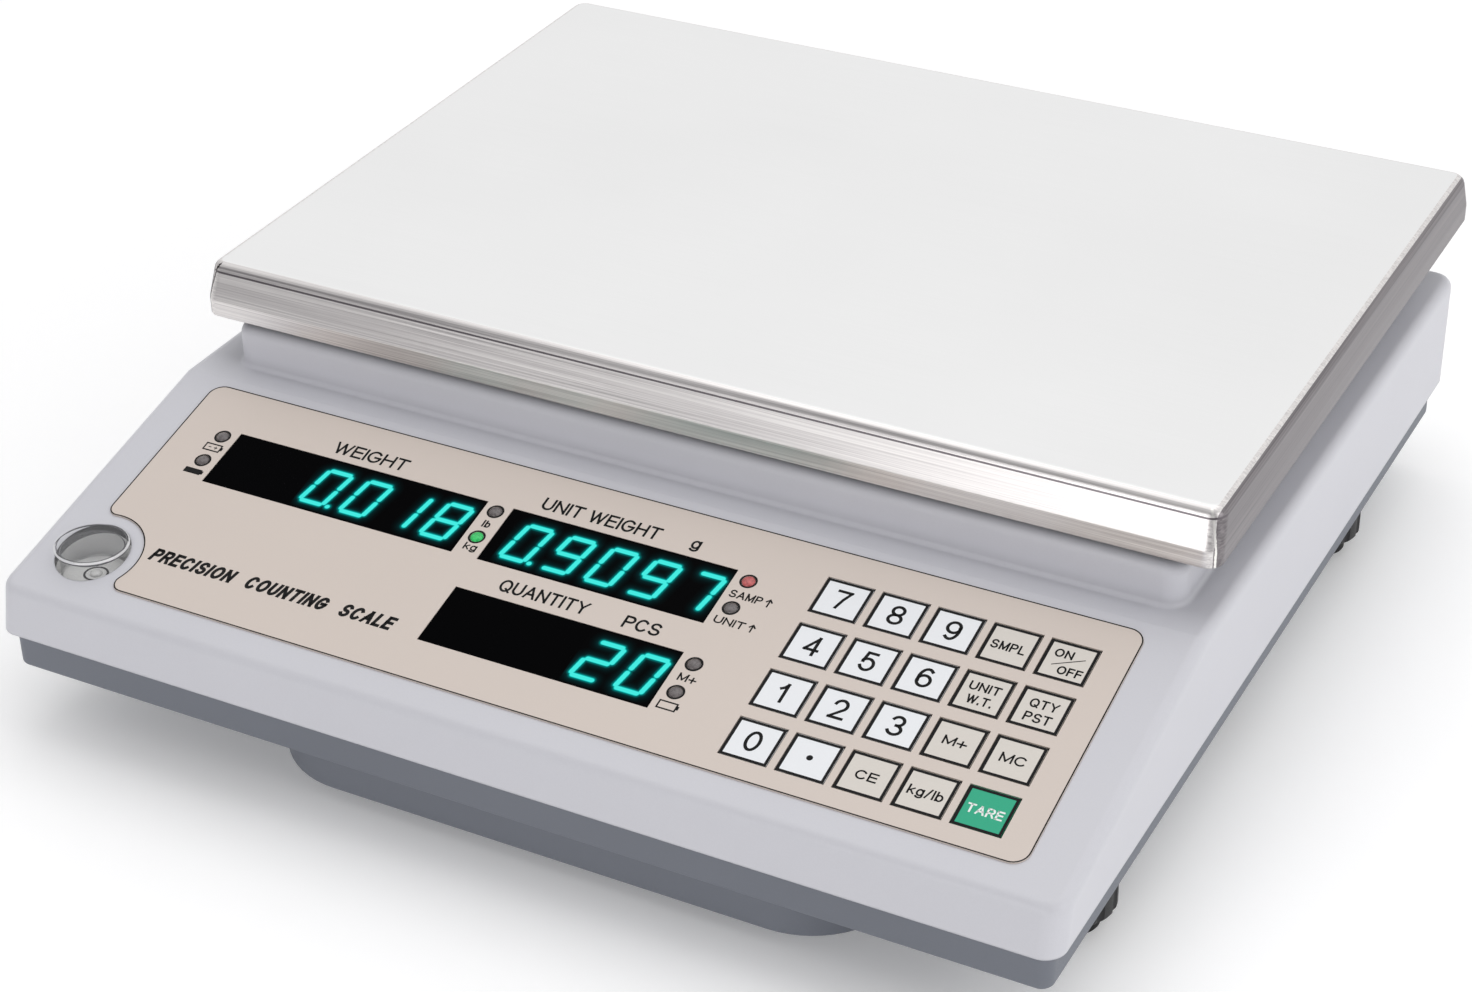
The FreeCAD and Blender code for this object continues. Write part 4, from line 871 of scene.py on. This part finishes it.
# painted shade: a dark grey for thin rings that stand in for the dark lines seen in the clear vial
shade_line_look = moulded("level_shade_grey", rgb(74, 74, 78), 0.3)
bubble_look = moulded("level_bubble_sheen", rgb(240, 240, 238), 0.1, Specular_IOR_Level=0.8)
LEVEL_PIECES = (  # name, slot, look, then pairs of radius and height in mm
    ("level_disc", "cup_white", disc_look, ((9.9, 0.15), (0.05, 0.15))),
    ("level_mark", "window_black", mark_look, ((3.9, 0.25), (3.2, 0.3), (3.2, 0.2))),
    ("level_bubble", "vial_clear", bubble_look, ((1.9, 0.3), (1.8, 0.55), (1.3, 0.85),
                                                 (0.7, 1.0), (0.05, 1.05))),
    # painted shade: dark rings under the vial's roof, at its outer edge and round its top
    ("level_roof_shade", "window_black", shade_line_look, ((10.0, 9.1), (9.5, 9.5))),
    ("level_edge_shade", "window_black", shade_line_look, ((11.47, 10.2), (11.47, 10.55))),
    ("level_top_shade", "window_black", shade_line_look, ((10.75, 11.16), (10.45, 11.17))),
)
for name, slot, finish, profile in LEVEL_PIECES:
    new_piece(name, lathe(name, profile), casing, slot, finish)


# ---------------------------------------------------------------- floor, light and camera

FLOOR_HALF = 4.0
LIGHTS = (  # name, place, what it points at, width and height, watts
    ("overhead", (0.0, 0.3, 1.6), (0.0, 0.0, 0.0), (1.6, 1.2), 5.0),
    ("front", (-0.1, -1.7, 0.5), (0.0, 0.0, 0.05), (0.7, 0.6), 6.0),
    ("right", (1.7, -0.35, 0.75), (0.0, 0.0, 0.05), (0.9, 0.8), 6.0),
)
CAMERA_PLACE = (0.3875, -0.7492, 0.5577)
CAMERA_AZIMUTH, CAMERA_ELEVATION, CAMERA_ROLL = 28.19, 31.99, -1.10  # degrees
FOCAL_LENGTH, SENSOR_WIDTH = 75.29, 36.0


def area_light(name, place, target, size, power):
    """A soft light that points at a target."""
    data = bpy.data.lights.new(name, "AREA")
    data.shape = "RECTANGLE"
    data.size, data.size_y = size
    data.energy = power
    made = link(name, data)
    made.location = place
    made.rotation_euler = (Vector(target) - Vector(place)).to_track_quat("-Z", "Y").to_euler()


def studio_sky():
    """A sky that is grey in front and below, and white behind and above."""
    world = bpy.data.worlds.new("studio")
    world.use_nodes = True
    tree = world.node_tree
    parts = add(tree, "SeparateXYZ", {0: add(tree, "TexCoord").outputs["Generated"]}).outputs
    backward = math_node(tree, "ADD", parts[1], math_node(tree, "MULTIPLY", parts[2], 0.6))
    tone = blend(tree, spread(tree, backward, 0.0, 1.0, -0.3, 0.75), (0.26, 0.255, 0.265, 1.0),
                 (1.0, 1.0, 1.0, 1.0))
    tree.links.new(tone, tree.nodes["Background"].inputs["Color"])
    tree.nodes["Background"].inputs["Strength"].default_value = 0.98
    return world


def turned_camera(azimuth, elevation, roll):
    """A camera's directions from its angles in degrees, as a matrix."""
    azimuth, elevation, roll = (math.radians(a) for a in (azimuth, elevation, roll))
    back = Vector((math.sin(azimuth) * math.cos(elevation),
                   -math.cos(azimuth) * math.cos(elevation), math.sin(elevation)))
    level = Vector((math.cos(azimuth), math.sin(azimuth), 0.0))
    raised = back.cross(level)
    right = level * math.cos(roll) + raised * math.sin(roll)
    upward = raised * math.cos(roll) - level * math.sin(roll)
    return Matrix((right, upward, back)).transposed().to_4x4()


floor_build = bmesh.new()
bmesh.ops.create_grid(floor_build, x_segments=8, y_segments=8, size=FLOOR_HALF)
floor = link("floor", mesh_of("floor", floor_build, Matrix()))
floor.data.materials.append(moulded("floor_paper", rgb(250, 250, 250), 0.8, vary=0.004,
                                    pebble=60.0, depth=1e-6, Emission_Strength=0.15))

for light in LIGHTS:
    area_light(*light)

lens_data = bpy.data.cameras.new("camera")
lens_data.lens = FOCAL_LENGTH
lens_data.sensor_width = SENSOR_WIDTH
lens_data.clip_start = 0.05
lens_data.clip_end = 20.0
camera = link("camera", lens_data)
camera.matrix_world = turned_camera(CAMERA_AZIMUTH, CAMERA_ELEVATION, CAMERA_ROLL)
camera.location = CAMERA_PLACE
bpy.context.scene.camera = camera
bpy.context.scene.world = studio_sky()
bpy.context.scene.view_settings.view_transform = "Standard"
